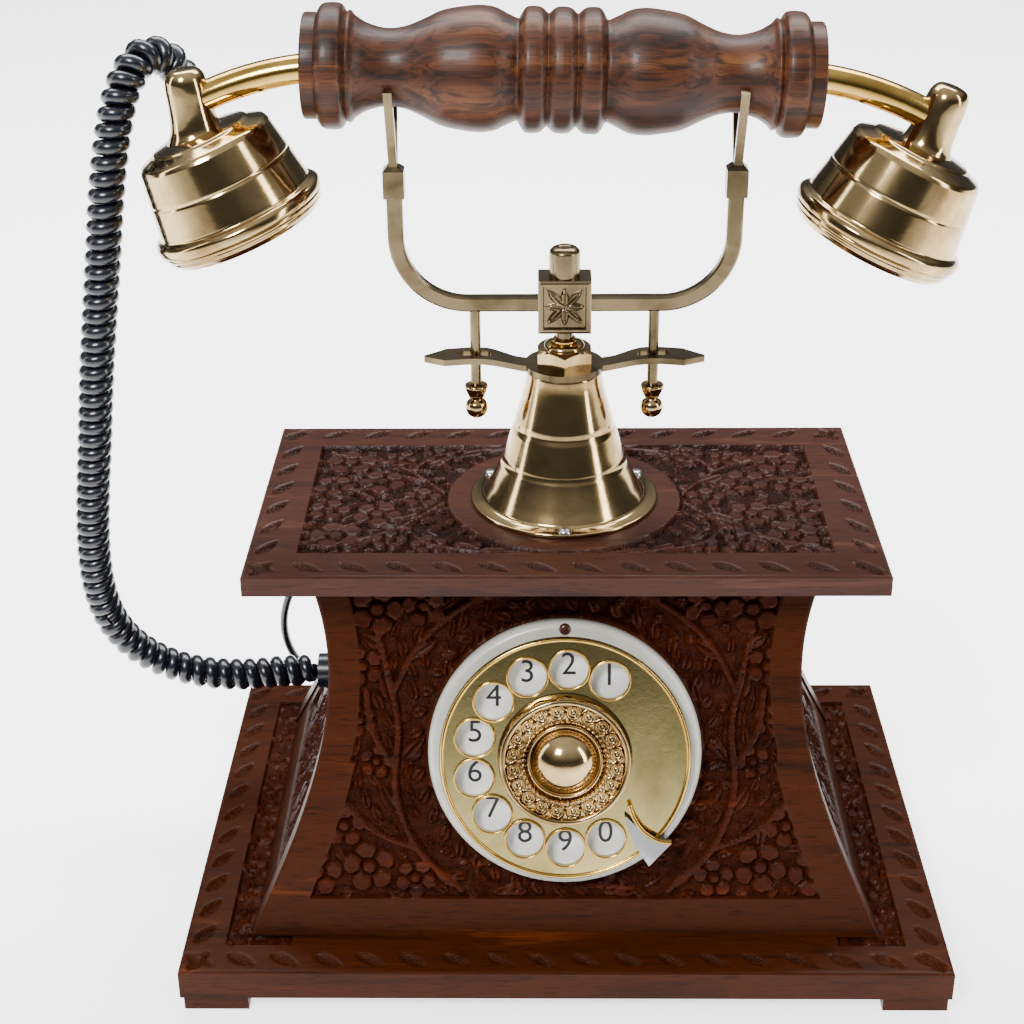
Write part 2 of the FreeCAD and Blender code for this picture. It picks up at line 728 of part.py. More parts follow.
def make_dial():
    wall_r = dial_can_r - dial_can_wall
    seat = dial_ring_high - plate_thick - 0.2
    case = turned([
        (dial_can_r, -dial_can_deep), (dial_can_r, 0), (dial_ring_r, 0), (dial_ring_r, dial_ring_high - 1.6),
        ((dial_ring_r - 0.5, dial_ring_high - 0.6), (dial_ring_r - 1.8, dial_ring_high)),
        (plate_r + 0.1, dial_ring_high), (plate_r + 0.1, seat), (6.0, seat), (6.0, seat - 2.0),
        (wall_r, seat - 2.0), (wall_r, -dial_can_deep),
    ])
    screw_y = dial_ring_r - 2.5
    case = case.cut(cylinder(1.0, 8.0, V(0, screw_y, dial_ring_high - 8.0)))
    save("dial_ring", on_dial(case))
    screw = cylinder(1.0, dial_ring_high, V(0, screw_y, 0))
    head = turned([(0, 0), (1.9, 0), ((1.5, 0.8), (dome_flat_r, 1.1)), (0, 1.1)])
    head.translate(V(0, screw_y, dial_ring_high))
    save("dial_screw", on_dial(screw.fuse(head).removeSplitter()))
    save("number_plate", on_dial(ring(plate_r, 6.0, plate_thick, V(0, 0, seat))))

    wheel_top = wheel_low + wheel_thick
    wheel = turned([(shaft_r, wheel_low), (wheel_r - wheel_bead_r, wheel_low),
                    ((wheel_r, wheel_low + wheel_thick / 2), (wheel_r - wheel_bead_r, wheel_top)),
                    (shaft_r, wheel_top)])
    for k in range(finger_holes):
        angle = number_hole_angle(k)
        place = V(finger_hole_circle_r * math.cos(angle), finger_hole_circle_r * math.sin(angle), 0)
        wheel = wheel.fuse(cylinder(finger_hole_r + finger_hole_lip, 0.6, place + V(0, 0, wheel_top)))
        wheel = wheel.cut(cylinder(finger_hole_r, 6.0, place + V(0, 0, wheel_low - 2)))
    save("finger_wheel", on_dial(wheel.removeSplitter()))
    rosette = turned([
        (0, wheel_top), (hub_r, wheel_top), (hub_r, wheel_top + hub_high - 1.6),
        ((hub_r - 0.6, wheel_top + hub_high - 0.3), (hub_r - hub_rim / 2, wheel_top + hub_high)),
        (hub_r - hub_rim, wheel_top + hub_high - 1.0), (hub_dome_r + 2.6, wheel_top + hub_high - 1.4),
        (hub_dome_r + 2.0, wheel_top + hub_high - 0.2), (hub_dome_r, wheel_top + hub_high - 0.2),
        (hub_dome_r, wheel_top + hub_high + 0.8),
        ((hub_dome_r * 0.72, wheel_top + hub_dome_high - 1.0), (dome_flat_r, wheel_top + hub_dome_high)),
        (0, wheel_top + hub_dome_high),
    ])
    save("hub_rosette", on_dial(rosette))

    stop = finger_stop(wheel_top)
    save("finger_stop", on_dial(stop))

    boss_top = seat - 2.4
    frame_low = -dial_can_deep
    frame = turned([
        (shaft_r + shaft_run, frame_low), (wall_r - 0.1, frame_low), (wall_r - 0.1, frame_low + 1.5),
        (5.6, frame_low + 1.5), (5.6, boss_top), (shaft_r + shaft_run, boss_top),
    ])
    spacing = gear_module * (gear_teeth + pinion_teeth) / 2 + gear_play
    governor_at = V(0, -spacing, 0)
    spindle_r = 1.5
    frame = frame.cut(cylinder(spindle_r + shaft_run, 6, governor_at + V(0, 0, frame_low - 2)))
    save("dial_frame", on_dial(frame))
    gear_low = frame_low - 4.5 - gear_thick
    shaft = cylinder(shaft_r, wheel_top - gear_low + 2.0, V(0, 0, gear_low - 2.0))
    save("dial_shaft", on_dial(shaft))
    gear = prism(gear_outline(gear_teeth, 0.42), V(0, 0, gear_thick)).cut(cylinder(shaft_r, gear_thick))
    gear.rotate(V(0, 0, 0), Z_AXIS, -90)
    gear.translate(V(0, 0, gear_low))
    save("main_gear", on_dial(gear))

    pinion = prism(gear_outline(pinion_teeth, 0.42), V(0, 0, gear_thick))
    pinion.rotate(V(0, 0, 0), Z_AXIS, 90 + 180 / pinion_teeth)
    pinion.translate(governor_at + V(0, 0, gear_low))
    spindle = cylinder(spindle_r, frame_low + 3.0 - gear_low + 2, governor_at + V(0, 0, gear_low - 2))
    drum = cylinder(governor_drum_r, governor_drum_high, governor_at + V(0, 0, gear_low - 2 - governor_drum_high))
    save("governor", on_dial(pinion.fuse(spindle).fuse(drum).removeSplitter()))

    coil = ring(12.0, 6.0, 2.6, V(0, 0, frame_low - 3.4))
    save("dial_spring", on_dial(coil))
    contacts = block(9.0, 14.0, 5.0, 0, 0, frame_low - 5.0)
    contacts.translate(V(-27.0, 6.0, 0))
    save("pulse_contacts", on_dial(contacts))


def finger_stop(wheel_top):
    """A claw that stands on the dial ring, hooks over the edge of the wheel and ends inwards."""
    low = wheel_top + 0.6 + stop_gap
    outer = dial_ring_r - 0.6
    tip = V(stop_tip_r, 0, low)
    toe = V(0.4, -0.9, 0)
    blade_points = [tip, V(35.0, -5.0, low), V(outer, -7.2, low), V(outer, 3.2, low), V(35.0, -0.3, low), tip + toe]
    blade = prism([blade_points[0], blade_points[4], blade_points[3], blade_points[2], blade_points[1],
                   blade_points[5]], V(0, 0, stop_thick))
    leg_inner = wheel_r + 0.9
    leg = block(outer - leg_inner, 8.6, low - dial_ring_high + stop_thick, (outer + leg_inner) / 2, -1.5,
                dial_ring_high)
    stop = blade.fuse(leg).removeSplitter()
    stop.rotate(V(0, 0, 0), Z_AXIS, stop_angle)
    return stop


# ---- handset -----------------------------------------------------------------------------
handset_placement = FreeCAD.Placement(
    V(handset_shift, 0, handset_axis_z), FreeCAD.Rotation(Y_AXIS, handset_tilt)
)


def on_handset(shape):
    return placed(shape, handset_placement)


def grip_profile():
    """Half of the turned grip, from its middle out, as (radius, distance along)."""
    bead = grip_bead_half
    belly_at = 23.8
    ring_in = grip_half - 12.8
    ring_out = grip_half - 4.3
    return [
        (grip_belly_r, 0),
        ((grip_belly_r - 0.4, bead * 0.55), (grip_groove_r, bead)),
        ((grip_belly_r, 2 * bead), (grip_groove_r - 1.6, 3 * bead)),
        ((grip_belly_r - 2.2, 16.4), (grip_belly_r, belly_at)),
        ((grip_belly_r - 1.2, 33.0), (grip_neck_r + 2.4, 42.6)),
        ((grip_neck_r, grip_neck_at), (grip_ring_r - 3.6, ring_in - 2.2)),
        ((grip_ring_r - 2.0, ring_in - 1.4), (grip_ring_r - 2.6, ring_in)),
        ((grip_ring_r, (ring_in + ring_out) / 2), (grip_step_r + 0.6, ring_out)),
        (grip_step_r, ring_out),
        (grip_step_r, grip_half - 1.0),
        (grip_step_r - 0.8, grip_half),
    ]


def make_handset():
    outer = grip_profile()
    half = turned([(0, 0)] + outer + [(0, grip_half)])
    grip = half.fuse(half.mirror(V(0, 0, 0), Z_AXIS)).removeSplitter()
    grip.rotate(V(0, 0, 0), Y_AXIS, 90)
    bore_r = tube_r + tube_bore_gap
    straight = tube_solid(bore_r)
    save("handle_grip", on_handset(grip.cut(straight)))
    solid_tube = tube_solid(tube_r)
    save("handset_tube", on_handset(solid_tube.cut(tube_solid(tube_r - 1.0))))
    horns = [make_cup(-1, horn_lean_left, "left", "mouth_cap", "transmitter"),
             make_cup(1, horn_lean_right, "right", "ear_cap", "receiver")]
    save("cup_horns", group(horns))
    rims = [cup_rim(side) for side in (-1, 1)]
    save("cup_rims", group(rims))


def tube_solid(radius):
    """The tube through the grip, straight inside it and bent down to a cup at each end."""
    bend = math.radians(tube_bend_deg)

    def on_bend(side, angle):
        return V(side * (tube_bend_from + tube_bend_r * math.sin(angle)), 0, -tube_bend_r * (1 - math.cos(angle)))

    right = Part.Arc(V(tube_bend_from, 0, 0), on_bend(1, bend / 2), on_bend(1, bend))
    left = Part.Arc(on_bend(-1, bend), on_bend(-1, bend / 2), V(-tube_bend_from, 0, 0))
    middle = Part.LineSegment(V(-tube_bend_from, 0, 0), V(tube_bend_from, 0, 0))
    path = Part.Wire([left.toShape(), middle.toShape(), right.toShape()])
    start = on_bend(-1, bend)
    inwards = V(math.cos(bend), 0, math.sin(bend))
    section = Part.Wire(Part.makeCircle(radius, start, inwards))
    return path.makePipeShell([section], True, True)


def cup_placement(side):
    """Takes a piece drawn about Z, mouth at z = 0 and horn upwards, to one end of the handset."""
    return FreeCAD.Placement(V(side * cup_at, 0, -cup_drop), FreeCAD.Rotation(Y_AXIS, side * cup_lean))


def make_cup(side, horn_lean, side_name, cap_name, capsule_name):
    """Saves one cup with its cap and capsule, and gives back its horn."""
    place = cup_placement(side)
    wall = cup_wall
    lip_mid = cup_lip_high / 2
    top = cup_high + cup_shoulder_high
    horn = horn_solid(side, horn_lean)
    cup = turned([
        (cup_lip_r - 3.2, 0), (cup_lip_r - 0.6, 0), ((cup_lip_r, lip_mid), (cup_lip_r - 1.0, cup_lip_high)),
        (cup_wall_low_r, cup_lip_high + 1.6), (cup_wall_high_r, cup_high), (cup_shoulder_r, top),
        (4.0, top + 0.8), (4.0, top - wall), (cup_shoulder_r - 1.0, top - wall),
        (cup_wall_high_r - wall, cup_high - wall), (cup_wall_low_r - wall, cup_lip_high),
        (cup_lip_r - 3.2, cup_lip_high),
    ])
    cup = placed(cup, place).cut(horn)
    horn = horn.cut(tube_solid(tube_r))
    if side < 0:
        gland_at = V(side * gland_out, gland_back, gland_drop)
        gland = cylinder(gland_r, gland_length, gland_at, Y_AXIS)
        horn = horn.cut(gland)
        cup = cup.cut(gland)
        bore = cylinder(gland_bore_r, gland_length, gland_at, Y_AXIS)
        save("cord_gland", on_handset(gland.cut(bore).cut(tube_solid(tube_r))))
    save(side_name + "_cup", on_handset(cup))
    cap = turned([
        (0, -rim_high + 1.4), (cap_r, -rim_high + 1.4), (cap_r, -rim_high),
        ((cap_r * 0.62, -rim_high - cap_proud * 0.8), (dome_flat_r, -rim_high - cap_proud)),
        (0, -rim_high - cap_proud),
    ])
    for k in range(6):
        angle = math.radians(60 * k)
        hole = cylinder(1.1, 12, V(7.0 * math.cos(angle), 7.0 * math.sin(angle), -10))
        cap = cap.cut(hole)
    save(cap_name, on_handset(placed(cap, place)))
    capsule = turned([(0, -rim_high + 1.8), (capsule_r, -rim_high + 1.8), (capsule_r, capsule_high - 4.0),
                      (capsule_r - 4.0, capsule_high), (0, capsule_high)])
    save(capsule_name, on_handset(placed(capsule, place)))
    return on_handset(horn)


def cup_rim(side):
    """The dark stepped ring that screws on under the mouth of a cup."""
    rim = turned([
        (rim_r - rim_wall, 0), (rim_r, 0), (rim_r, -1.0), ((rim_r - 0.6, -3.0), (rim_foot_r, -rim_high)),
        (cap_r + 0.1, -rim_high), (cap_r + 0.1, -rim_high + 1.4), (rim_r - rim_wall, -1.2),
    ])
    return on_handset(placed(rim, cup_placement(side)))


def horn_solid(side, horn_lean):
    """The round-topped horn that joins the tube to the cup, in the handset's own frame."""
    profile = [
        (0, -3.0), (horn_foot_r + 1.0, -3.0), (horn_foot_r, 0.5), ((horn_r + 0.5, 3.2), (horn_r, 6.5)),
        (horn_r - 0.3, horn_high - 4.0), ((horn_r * 0.66, horn_high - 0.9), (dome_flat_r, horn_high)),
        (0, horn_high),
    ]
    foot = V(side * 110.0, 0, -22.2)
    return placed(turned(profile), FreeCAD.Placement(foot, FreeCAD.Rotation(Y_AXIS, side * horn_lean)))


# ---- inside the case ---------------------------------------------------------------------
def make_inside():
    board_z = base_top + 6.0
    board = block(70.0, 46.0, 1.6, 24.0, 6.0, board_z)
    for sx in (-1, 1):
        for sy in (-1, 1):
            post = cylinder(3.0, board_z - foot_height, V(24.0 + sx * 30.0, 6.0 + sy * 18.0, foot_height))
            board = board.fuse(post)
    board = board.fuse(block(18.0, 16.0, 14.0, 8.0, 10.0, board_z + 1.6))
    board = board.fuse(block(24.0, 9.0, 9.0, 40.0, 16.0, board_z + 1.6))
    board = board.fuse(cylinder(5.0, 12.0, V(44.0, -2.0, board_z + 1.6)))
    save("circuit_board", board.removeSplitter())
    sounder = turned([(0, 0), (19.0, 0), (19.0, 9.0), (16.0, 10.5), (2.0, 10.5), (2.0, 9.0), (0, 9.0)])
    sounder.translate(V(-36.0, 6.0, foot_height))
    save("ringer", sounder)


def make_grommets():
    hole_r = grommet_bore_r - 0.4
    face_x = -cord_face_x()
    inside_x = -side_x(cord_exit_z, side_inset) + side_thick + 3.0
    seat = V(face_x, cord_exit_y, cord_exit_z)
    collar = cylinder(grommet_r, inside_x - face_x - side_thick, seat, X_AXIS)
    collar = collar.cut(waisted_prism(side_inset, base_depth))
    bush = cylinder(grommet_bore_r + 1.4, inside_x - face_x, seat, X_AXIS)
    bore = cylinder(hole_r, inside_x - face_x, seat, X_AXIS)
    save("cord_grommet", bush.fuse(collar).removeSplitter().cut(bore))

    exit_way = V(0, math.cos(lean), math.sin(lean))
    seat = V(line_exit_x, panel_y(line_exit_z), line_exit_z)
    bush = ring(grommet_bore_r + 1.4, line_cord_r, panel_thick + 2.0, seat - exit_way * (panel_thick + 2.0),
                exit_way)
    cone = turned([(line_cord_r, 0), (5.5, 0), (5.5, 1.5), (3.4, 2.2), (2.4, line_boot_length),
                   (line_cord_r, line_boot_length)])
    cone = placed(cone, FreeCAD.Placement(seat, FreeCAD.Rotation(Z_AXIS, exit_way)))
    save("line_grommet", bush.fuse(cone).removeSplitter())


def cord_face_x():
    """How far out the grommet's flat face stands, where the curly cord begins."""
    return side_x(cord_exit_z, side_inset) + grommet_proud


def make_cords():
    curly = [
        V(-cord_face_x(), cord_exit_y, cord_exit_z), V(-101.0, 30.0, 57.8), V(-114.0, 30.0, 56.0),
        V(-129.0, 29.5, 56.6), V(-143.5, 28.0, 61.5), V(-154.5, 25.0, 71.0), V(-161.0, 20.5, 84.5),
        V(-163.0, 16.0, 101.0), V(-162.0, 12.5, 119.0), V(-159.2, 9.5, 140.0), V(-155.6, 7.5, 162.0),
        V(-152.4, 5.5, 184.0), V(-148.6, 4.0, 206.0), V(-144.8, 3.0, 228.0), V(-141.8, 3.0, 248.0),
        V(-138.2, 4.0, 266.0), V(-134.4, 7.0, 280.0), V(-128.5, 14.0, 288.5), V(-121.5, 21.0, 284.5),
        V(-117.5, 22.0, 275.5), V(-114.4, 16.2, 269.6),
    ]
    coiled = cord_tube(curly, coil_cord_r, "handset_cord")
    gland_face = handset_placement.multVec(V(-gland_out, gland_back + gland_length, gland_drop))
    tail_way = gland_face - curly[-1]
    overrun = coil_cord_r / 2
    tail = cylinder(coil_wire_r, tail_way.Length + overrun, curly[-1], tail_way)
    tail = tail.cut(block(4 * gland_r, 4 * gland_r, 4 * gland_r, gland_face.x, gland_face.y - 2 * gland_r,
                          gland_face.z - 2 * gland_r))
    save("handset_cord", coiled.fuse(tail).removeSplitter())
    exit_way = V(0, math.cos(lean), math.sin(lean))
    start = V(line_exit_x, panel_y(line_exit_z), line_exit_z) + exit_way * line_boot_length
    low = line_cord_r
    line = [
        start, start + V(-1.2, 12.0, 2.5), V(-70.5, 82.0, 88.0), V(-83.5, 87.0, 83.0), V(-96.5, 88.0, 73.5),
        V(-106.0, 87.5, 60.5), V(-110.5, 88.0, 46.0), V(-109.5, 90.5, 31.5), V(-104.0, 94.5, 18.5),
        V(-95.5, 99.5, 8.5), V(-84.0, 104.5, 2.6), V(-70.0, 108.5, low), V(-55.0, 110.5, low),
        V(-40.0, 109.5, low), V(-27.5, 107.0, low), V(-16.0, 104.6, low), V(-6.0, 103.6, low),
    ]
    save("line_cord", cord_tube(line, line_cord_r, "line_cord"))
    wound = turned([(wound_inner_r, 0), (wound_outer_r - 1.5, 0), (wound_outer_r, 1.5),
                    (wound_outer_r, wound_high - 1.5), (wound_outer_r - 1.5, wound_high),
                    (wound_inner_r, wound_high)])
    wound.translate(V(wound_x, wound_y, 0))
    save("line_cord_coil", wound)
    plug_at = V(wound_x + wound_outer_r + 8.0 + plug_width / 2, wound_y, 0)
    plug = block(plug_width, plug_length, plug_high, plug_at.x, plug_at.y, 0)
    save("line_plug", plug)


os.makedirs("parts", exist_ok=True)
make_case()
make_column()
make_cradle()
make_hook_switch()
make_dial()
make_handset()
make_inside()
make_grommets()
make_cords()
for name in sorted(parts):
    shape = parts[name]
    size = shape.BoundBox
    print(f"{name:16s} solids {len(shape.Solids)} valid {shape.isValid()} volume {shape.Volume / 1000:8.2f} cm3"
          f"  x {size.XMin:7.1f} {size.XMax:7.1f}  y {size.YMin:7.1f} {size.YMax:7.1f}"
          f"  z {size.ZMin:7.1f} {size.ZMax:7.1f}")
print(len(parts), "nodes")
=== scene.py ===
"""The looks of a carved wooden cradle telephone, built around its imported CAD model.

Lengths are in metres unless a name ends in _mm. Carvings are worked out in millimetres.
"""
import bpy
import json
import math
import numpy as np
from mathutils import Matrix, Vector


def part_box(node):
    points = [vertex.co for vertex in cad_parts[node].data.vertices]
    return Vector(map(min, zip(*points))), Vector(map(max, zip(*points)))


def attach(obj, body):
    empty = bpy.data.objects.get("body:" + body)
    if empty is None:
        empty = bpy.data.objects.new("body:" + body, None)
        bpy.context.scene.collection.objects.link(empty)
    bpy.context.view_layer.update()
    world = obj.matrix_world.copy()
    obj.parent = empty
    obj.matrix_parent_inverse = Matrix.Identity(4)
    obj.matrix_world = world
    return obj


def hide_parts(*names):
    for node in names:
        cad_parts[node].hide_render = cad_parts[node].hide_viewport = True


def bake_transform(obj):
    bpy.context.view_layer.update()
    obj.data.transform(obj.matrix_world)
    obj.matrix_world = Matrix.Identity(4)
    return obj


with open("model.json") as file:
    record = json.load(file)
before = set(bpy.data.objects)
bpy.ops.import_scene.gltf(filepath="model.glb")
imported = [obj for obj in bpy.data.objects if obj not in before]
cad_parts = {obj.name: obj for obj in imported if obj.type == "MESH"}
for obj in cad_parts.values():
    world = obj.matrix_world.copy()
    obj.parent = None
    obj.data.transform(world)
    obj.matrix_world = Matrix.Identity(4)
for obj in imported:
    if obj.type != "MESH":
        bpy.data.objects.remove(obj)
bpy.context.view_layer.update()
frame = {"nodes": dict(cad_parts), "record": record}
MM = 0.001

# ---- shapes that the CAD model shares ------------------------------------------------------
SHARP_FROM = math.radians(40)
LEAN = math.radians(16.1)
PANEL_BOTTOM_Y_MM = 69.0
CASE_BOTTOM_MM = 16.0
CASE_TOP_MM = 137.2
PANEL_THICK_MM = 9.0
SIDE_THICK_MM = 8.0
SIDE_INSET_MM = 0.8
CASE_HALF_WIDTHS_MM = ((0.0, 103.7), (0.215, 91.5), (0.475, 80.2), (0.72, 76.0), (1.0, 84.0))
DIAL_UP_PANEL_MM = 64.3
HANDSET_CENTRE_MM = (-1.0, 0.0, 285.4)
HANDSET_TILT = math.radians(1.4)
CUP_AT_MM = 98.0
CUP_DROP_MM = 48.0
CUP_LEAN = math.radians(23.5)


# ---- mesh helpers --------------------------------------------------------------------------
def linked(name, data):
    """A new object in the scene."""
    piece = bpy.data.objects.new(name, data)
    bpy.context.scene.collection.objects.link(piece)
    return piece


def plain_mesh(source):
    """What a curve, text or modifier gives, as a plain mesh. The source is removed."""
    bpy.context.view_layer.update()
    mesh = bpy.data.meshes.new_from_object(source.evaluated_get(bpy.context.evaluated_depsgraph_get()))
    bpy.data.objects.remove(source)
    return mesh


def new_mesh(name, vertices, faces, smooth=True):
    mesh = bpy.data.meshes.new(name)
    mesh.from_pydata([tuple(p) for p in vertices], [], [tuple(f) for f in faces])
    mesh.validate()
    if smooth:
        mesh.shade_smooth()
        mesh.set_sharp_from_angle(angle=SHARP_FROM)
    return linked(name, mesh)


def point_attribute(piece, name, values):
    attribute = piece.data.attributes.new(name, "FLOAT", "POINT")
    attribute.data.foreach_set("value", np.asarray(values, np.float32))


def rounded(profile, radius, steps=4):
    """Rounds the inner corners of an open (radius, height) profile by short arcs."""
    points = [np.array(p, float) for p in profile]
    out = [points[0]]
    for before, corner, after in zip(points, points[1:], points[2:]):
        back, ahead = before - corner, after - corner
        reach = min(radius, 0.45 * np.linalg.norm(back), 0.45 * np.linalg.norm(ahead))
        entry = corner + back / np.linalg.norm(back) * reach
        leave = corner + ahead / np.linalg.norm(ahead) * reach
        for t in np.linspace(0, 1, steps):
            out.append((1 - t) ** 2 * entry + 2 * t * (1 - t) * corner + t * t * leave)
    out.append(points[-1])
    return out


def curved(points, per_span=8):
    """A smooth (Catmull-Rom) line through the points."""
    p = [np.array(q, float) for q in points]
    p = [2 * p[0] - p[1]] + p + [2 * p[-1] - p[-2]]
    out = []
    for a, b, c, d in zip(p, p[1:], p[2:], p[3:]):
        for t in np.arange(per_span) / per_span:
            out.append(0.5 * ((2 * b) + (c - a) * t + (2 * a - 5 * b + 4 * c - d) * t * t
                              + (3 * b - a - 3 * c + d) * t ** 3))
    out.append(p[-2])
    return out


def lathe(name, profile, place=None, around=96):
    """A turned piece about Z from a (radius, height) profile in millimetres, closed where the radius is 0."""
    vertices, faces, rows = [], [], []
    for r, z in profile:
        if r < 1e-6:
            rows.append([len(vertices)])
            vertices.append((0, 0, z))
            continue
        rows.append(list(range(len(vertices), len(vertices) + around)))
        for k in range(around):
            a = 2 * math.pi * k / around
            vertices.append((r * math.cos(a), r * math.sin(a), z))
    for low, high in zip(rows, rows[1:]):
        for k in range(around):
            n = (k + 1) % around
            if len(low) == 1 and len(high) == 1:
                break
            if len(low) == 1:
                faces.append((low[0], high[n], high[k]))
            elif len(high) == 1:
                faces.append((low[k], low[n], high[0]))
            else:
                faces.append((low[k], low[n], high[n], high[k]))
    piece = new_mesh(name, vertices, faces)
    put(piece, place)
    return piece


def put(piece, place=None):
    """Bakes a placement given in millimetres into the mesh, so that the object stays at the origin in metres."""
    if place is not None:
        piece.data.transform(place)
    piece.data.transform(Matrix.Scale(MM, 4))


def join(name, pieces):
    """One mesh out of several, each with its own placement already baked in."""
    vertices, faces = [], []
    for piece in pieces:
        start = len(vertices)
        vertices += [tuple(v.co) for v in piece.data.vertices]
        faces += [[start + i for i in f.vertices] for f in piece.data.polygons]
        mesh = piece.data
        bpy.data.objects.remove(piece)
        bpy.data.meshes.remove(mesh)
    return new_mesh(name, vertices, faces)


def tube_mesh(name, points, radius, sides=12):
    """A round tube along a dense line of points in metres, with its ends closed."""
    curve = bpy.data.curves.new(name, "CURVE")
    curve.dimensions = "3D"
    curve.bevel_depth = radius
    curve.bevel_resolution = max(1, sides // 2 - 2)
    curve.use_fill_caps = True
    spline = curve.splines.new("POLY")
    spline.points.add(len(points) - 1)
    for target, p in zip(spline.points, points):
        target.co = (p[0], p[1], p[2], 1)
    mesh = plain_mesh(linked(name + "_line", curve))
    mesh.shade_smooth()
    return linked(name, mesh)


def spline_object(name, points, radius=0.0):
    """A smooth spline near the points, in metres, as a round cord where it has a radius."""
    curve = bpy.data.curves.new(name, "CURVE")
    curve.dimensions = "3D"
    curve.resolution_u = 8
    curve.bevel_depth = radius
    curve.bevel_resolution = 5
    curve.use_fill_caps = True
    spline = curve.splines.new("NURBS")
    spline.points.add(len(points) - 1)
    for target, p in zip(spline.points, points):
        target.co = (p[0], p[1], p[2], 1)
    spline.order_u = 3
    spline.use_endpoint_u = True
    return linked(name, curve)


def spline_line(points):
    """Dense points along the smooth spline."""
    mesh = plain_mesh(spline_object("route", points))
    line = np.array([v.co for v in mesh.vertices])
    bpy.data.meshes.remove(mesh)
    return line


# ---- materials -----------------------------------------------------------------------------
def linear(hex_colour):
    """A hex sRGB colour as the linear values that shaders take."""
    out = []
    for k in (0, 2, 4):
        c = int(hex_colour[k:k + 2], 16) / 255
        out.append(c / 12.92 if c <= 0.04045 else ((c + 0.055) / 1.055) ** 2.4)
    return (*out, 1.0)


def grey(value):
    return (value, value, value, 1)


def per_metre(size_mm):
    """A pattern's scale, from the size in millimetres of one of its details."""
    return 1 / (size_mm * MM)


def grain(length_mm, width_mm):
    """The scales of a wood's figure that runs along X."""
    return per_metre(length_mm), per_metre(width_mm), per_metre(width_mm)


def add(tree, kind, inputs=(), stops=(), **settings):
    """One node of a tree. An input's value is a constant, an output to link, or a node whose first output is linked.
    stops are the positions and colours of a colour ramp."""
    node = tree.nodes.new(kind)
    for key, value in settings.items():
        setattr(node, key, value)
    for key, value in dict(inputs).items():
        if isinstance(value, bpy.types.Node):
            value = value.outputs[0]
        if isinstance(value, bpy.types.NodeSocket):
            tree.links.new(value, node.inputs[key])
        else:
            node.inputs[key].default_value = value
    elements = node.color_ramp.elements if stops else ()
    while len(elements) < len(stops):
        elements.new(0.5)
    for element, (position, colour) in zip(elements, stops):
        element.position = position
        element.color = colour
    return node


def new_material(name):
    """A material, its empty tree, and the place on the piece that its patterns read."""
    material = bpy.data.materials.new(name)
    material.use_nodes = True
    tree = material.node_tree
    tree.nodes.clear()
    return material, tree, add(tree, "ShaderNodeTexCoord").outputs["Object"]


def finish_material(tree, inputs):
    shader = add(tree, "ShaderNodeBsdfPrincipled", inputs)
    add(tree, "ShaderNodeOutputMaterial", {"Surface": shader})


def carved_sheesham(name, light, middle, dark, field_tint, ground_shade_colours, ground_shade_share, shine):
    """Indian rosewood, carved by hand and lacquered: long dark figure, open pores, a dull ground that is punched
    between the leaves. The meshes' attributes field and ground say where the carving and its ground are. The ground
    and the gouges are painted in darker colours, as painted shade in the recesses.
    A real pore is about 0.2 mm wide and a punch mark 0.5 mm. Both are drawn coarser, so that they show."""
    material, tree, here = new_material(name)
    along = add(tree, "ShaderNodeMapping", {"Vector": here, "Scale": grain(125.0, 10.417)})
    figure = add(tree, "ShaderNodeTexNoise", {"Vector": along, "Scale": 1.0, "Detail": 7.0, "Roughness": 0.62,
                                              "Distortion": 1.1})
    wood = add(tree, "ShaderNodeValToRGB", {"Fac": figure},
               [(0.30, linear(dark)), (0.46, linear(middle)), (0.58, linear(middle)), (0.74, linear(light))])
    along = add(tree, "ShaderNodeMapping", {"Vector": here, "Scale": grain(8.3333, 0.625)})
    pores = add(tree, "ShaderNodeTexNoise", {"Vector": along, "Scale": 1.0, "Detail": 3.0, "Roughness": 0.6})
    pore_tone = add(tree, "ShaderNodeValToRGB", {"Fac": pores}, [(0.36, grey(0.0)), (0.46, grey(1.0))])
    wood = add(tree, "ShaderNodeMix", {0: 0.45, 6: wood, 7: pore_tone}, data_type="RGBA", blend_type="MULTIPLY")
    field = add(tree, "ShaderNodeAttribute", attribute_name="field").outputs["Fac"]
    wood = add(tree, "ShaderNodeMix", {0: field, 6: wood.outputs[2], 7: linear(field_tint)}, data_type="RGBA",
               blend_type="MULTIPLY")
    ground = add(tree, "ShaderNodeAttribute", attribute_name="ground").outputs["Fac"]
    # Painted shade: the cut-away ground and the gouges take darker colours, mottled by this noise.
    shaded_ground_mottle = add(tree, "ShaderNodeTexNoise", {"Vector": here, "Scale": per_metre(3.8462), "Detail": 4.0,
                                            "Roughness": 0.6})
    ground_shade_tone = add(tree, "ShaderNodeValToRGB", {"Fac": shaded_ground_mottle},
                      [(0.35, linear(ground_shade_colours[0])), (0.66, linear(ground_shade_colours[1]))])
    share = add(tree, "ShaderNodeMath", {0: ground, 1: ground_shade_share}, operation="MULTIPLY")
    wood = add(tree, "ShaderNodeMix", {0: share, 6: wood.outputs[2], 7: ground_shade_tone}, data_type="RGBA")
    brushed = add(tree, "ShaderNodeTexNoise", {"Vector": here, "Scale": per_metre(11.111), "Detail": 3.0})
    punch_marks = add(tree, "ShaderNodeTexVoronoi", {"Vector": here, "Scale": per_metre(0.86957)})
    punched = add(tree, "ShaderNodeMath", {0: ground, 1: 0.8}, operation="MULTIPLY")
    punched = add(tree, "ShaderNodeMath", {0: punch_marks, 1: punched}, operation="MULTIPLY")
    height = add(tree, "ShaderNodeMath", {0: pores, 1: 0.10, 2: punched}, operation="MULTIPLY_ADD")
    finish_material(tree, {
        "Base Color": wood.outputs[2],
        "Roughness": add(tree, "ShaderNodeMapRange", {"Value": brushed, "To Min": 0.28, "To Max": 0.46}),
        "Specular IOR Level": add(tree, "ShaderNodeMapRange", {"Value": ground, "To Min": shine,
                                                               "To Max": shine * 0.3}),
        "Normal": add(tree, "ShaderNodeBump", {"Height": height, "Strength": 0.85, "Distance": 0.6 * MM})})
    return material


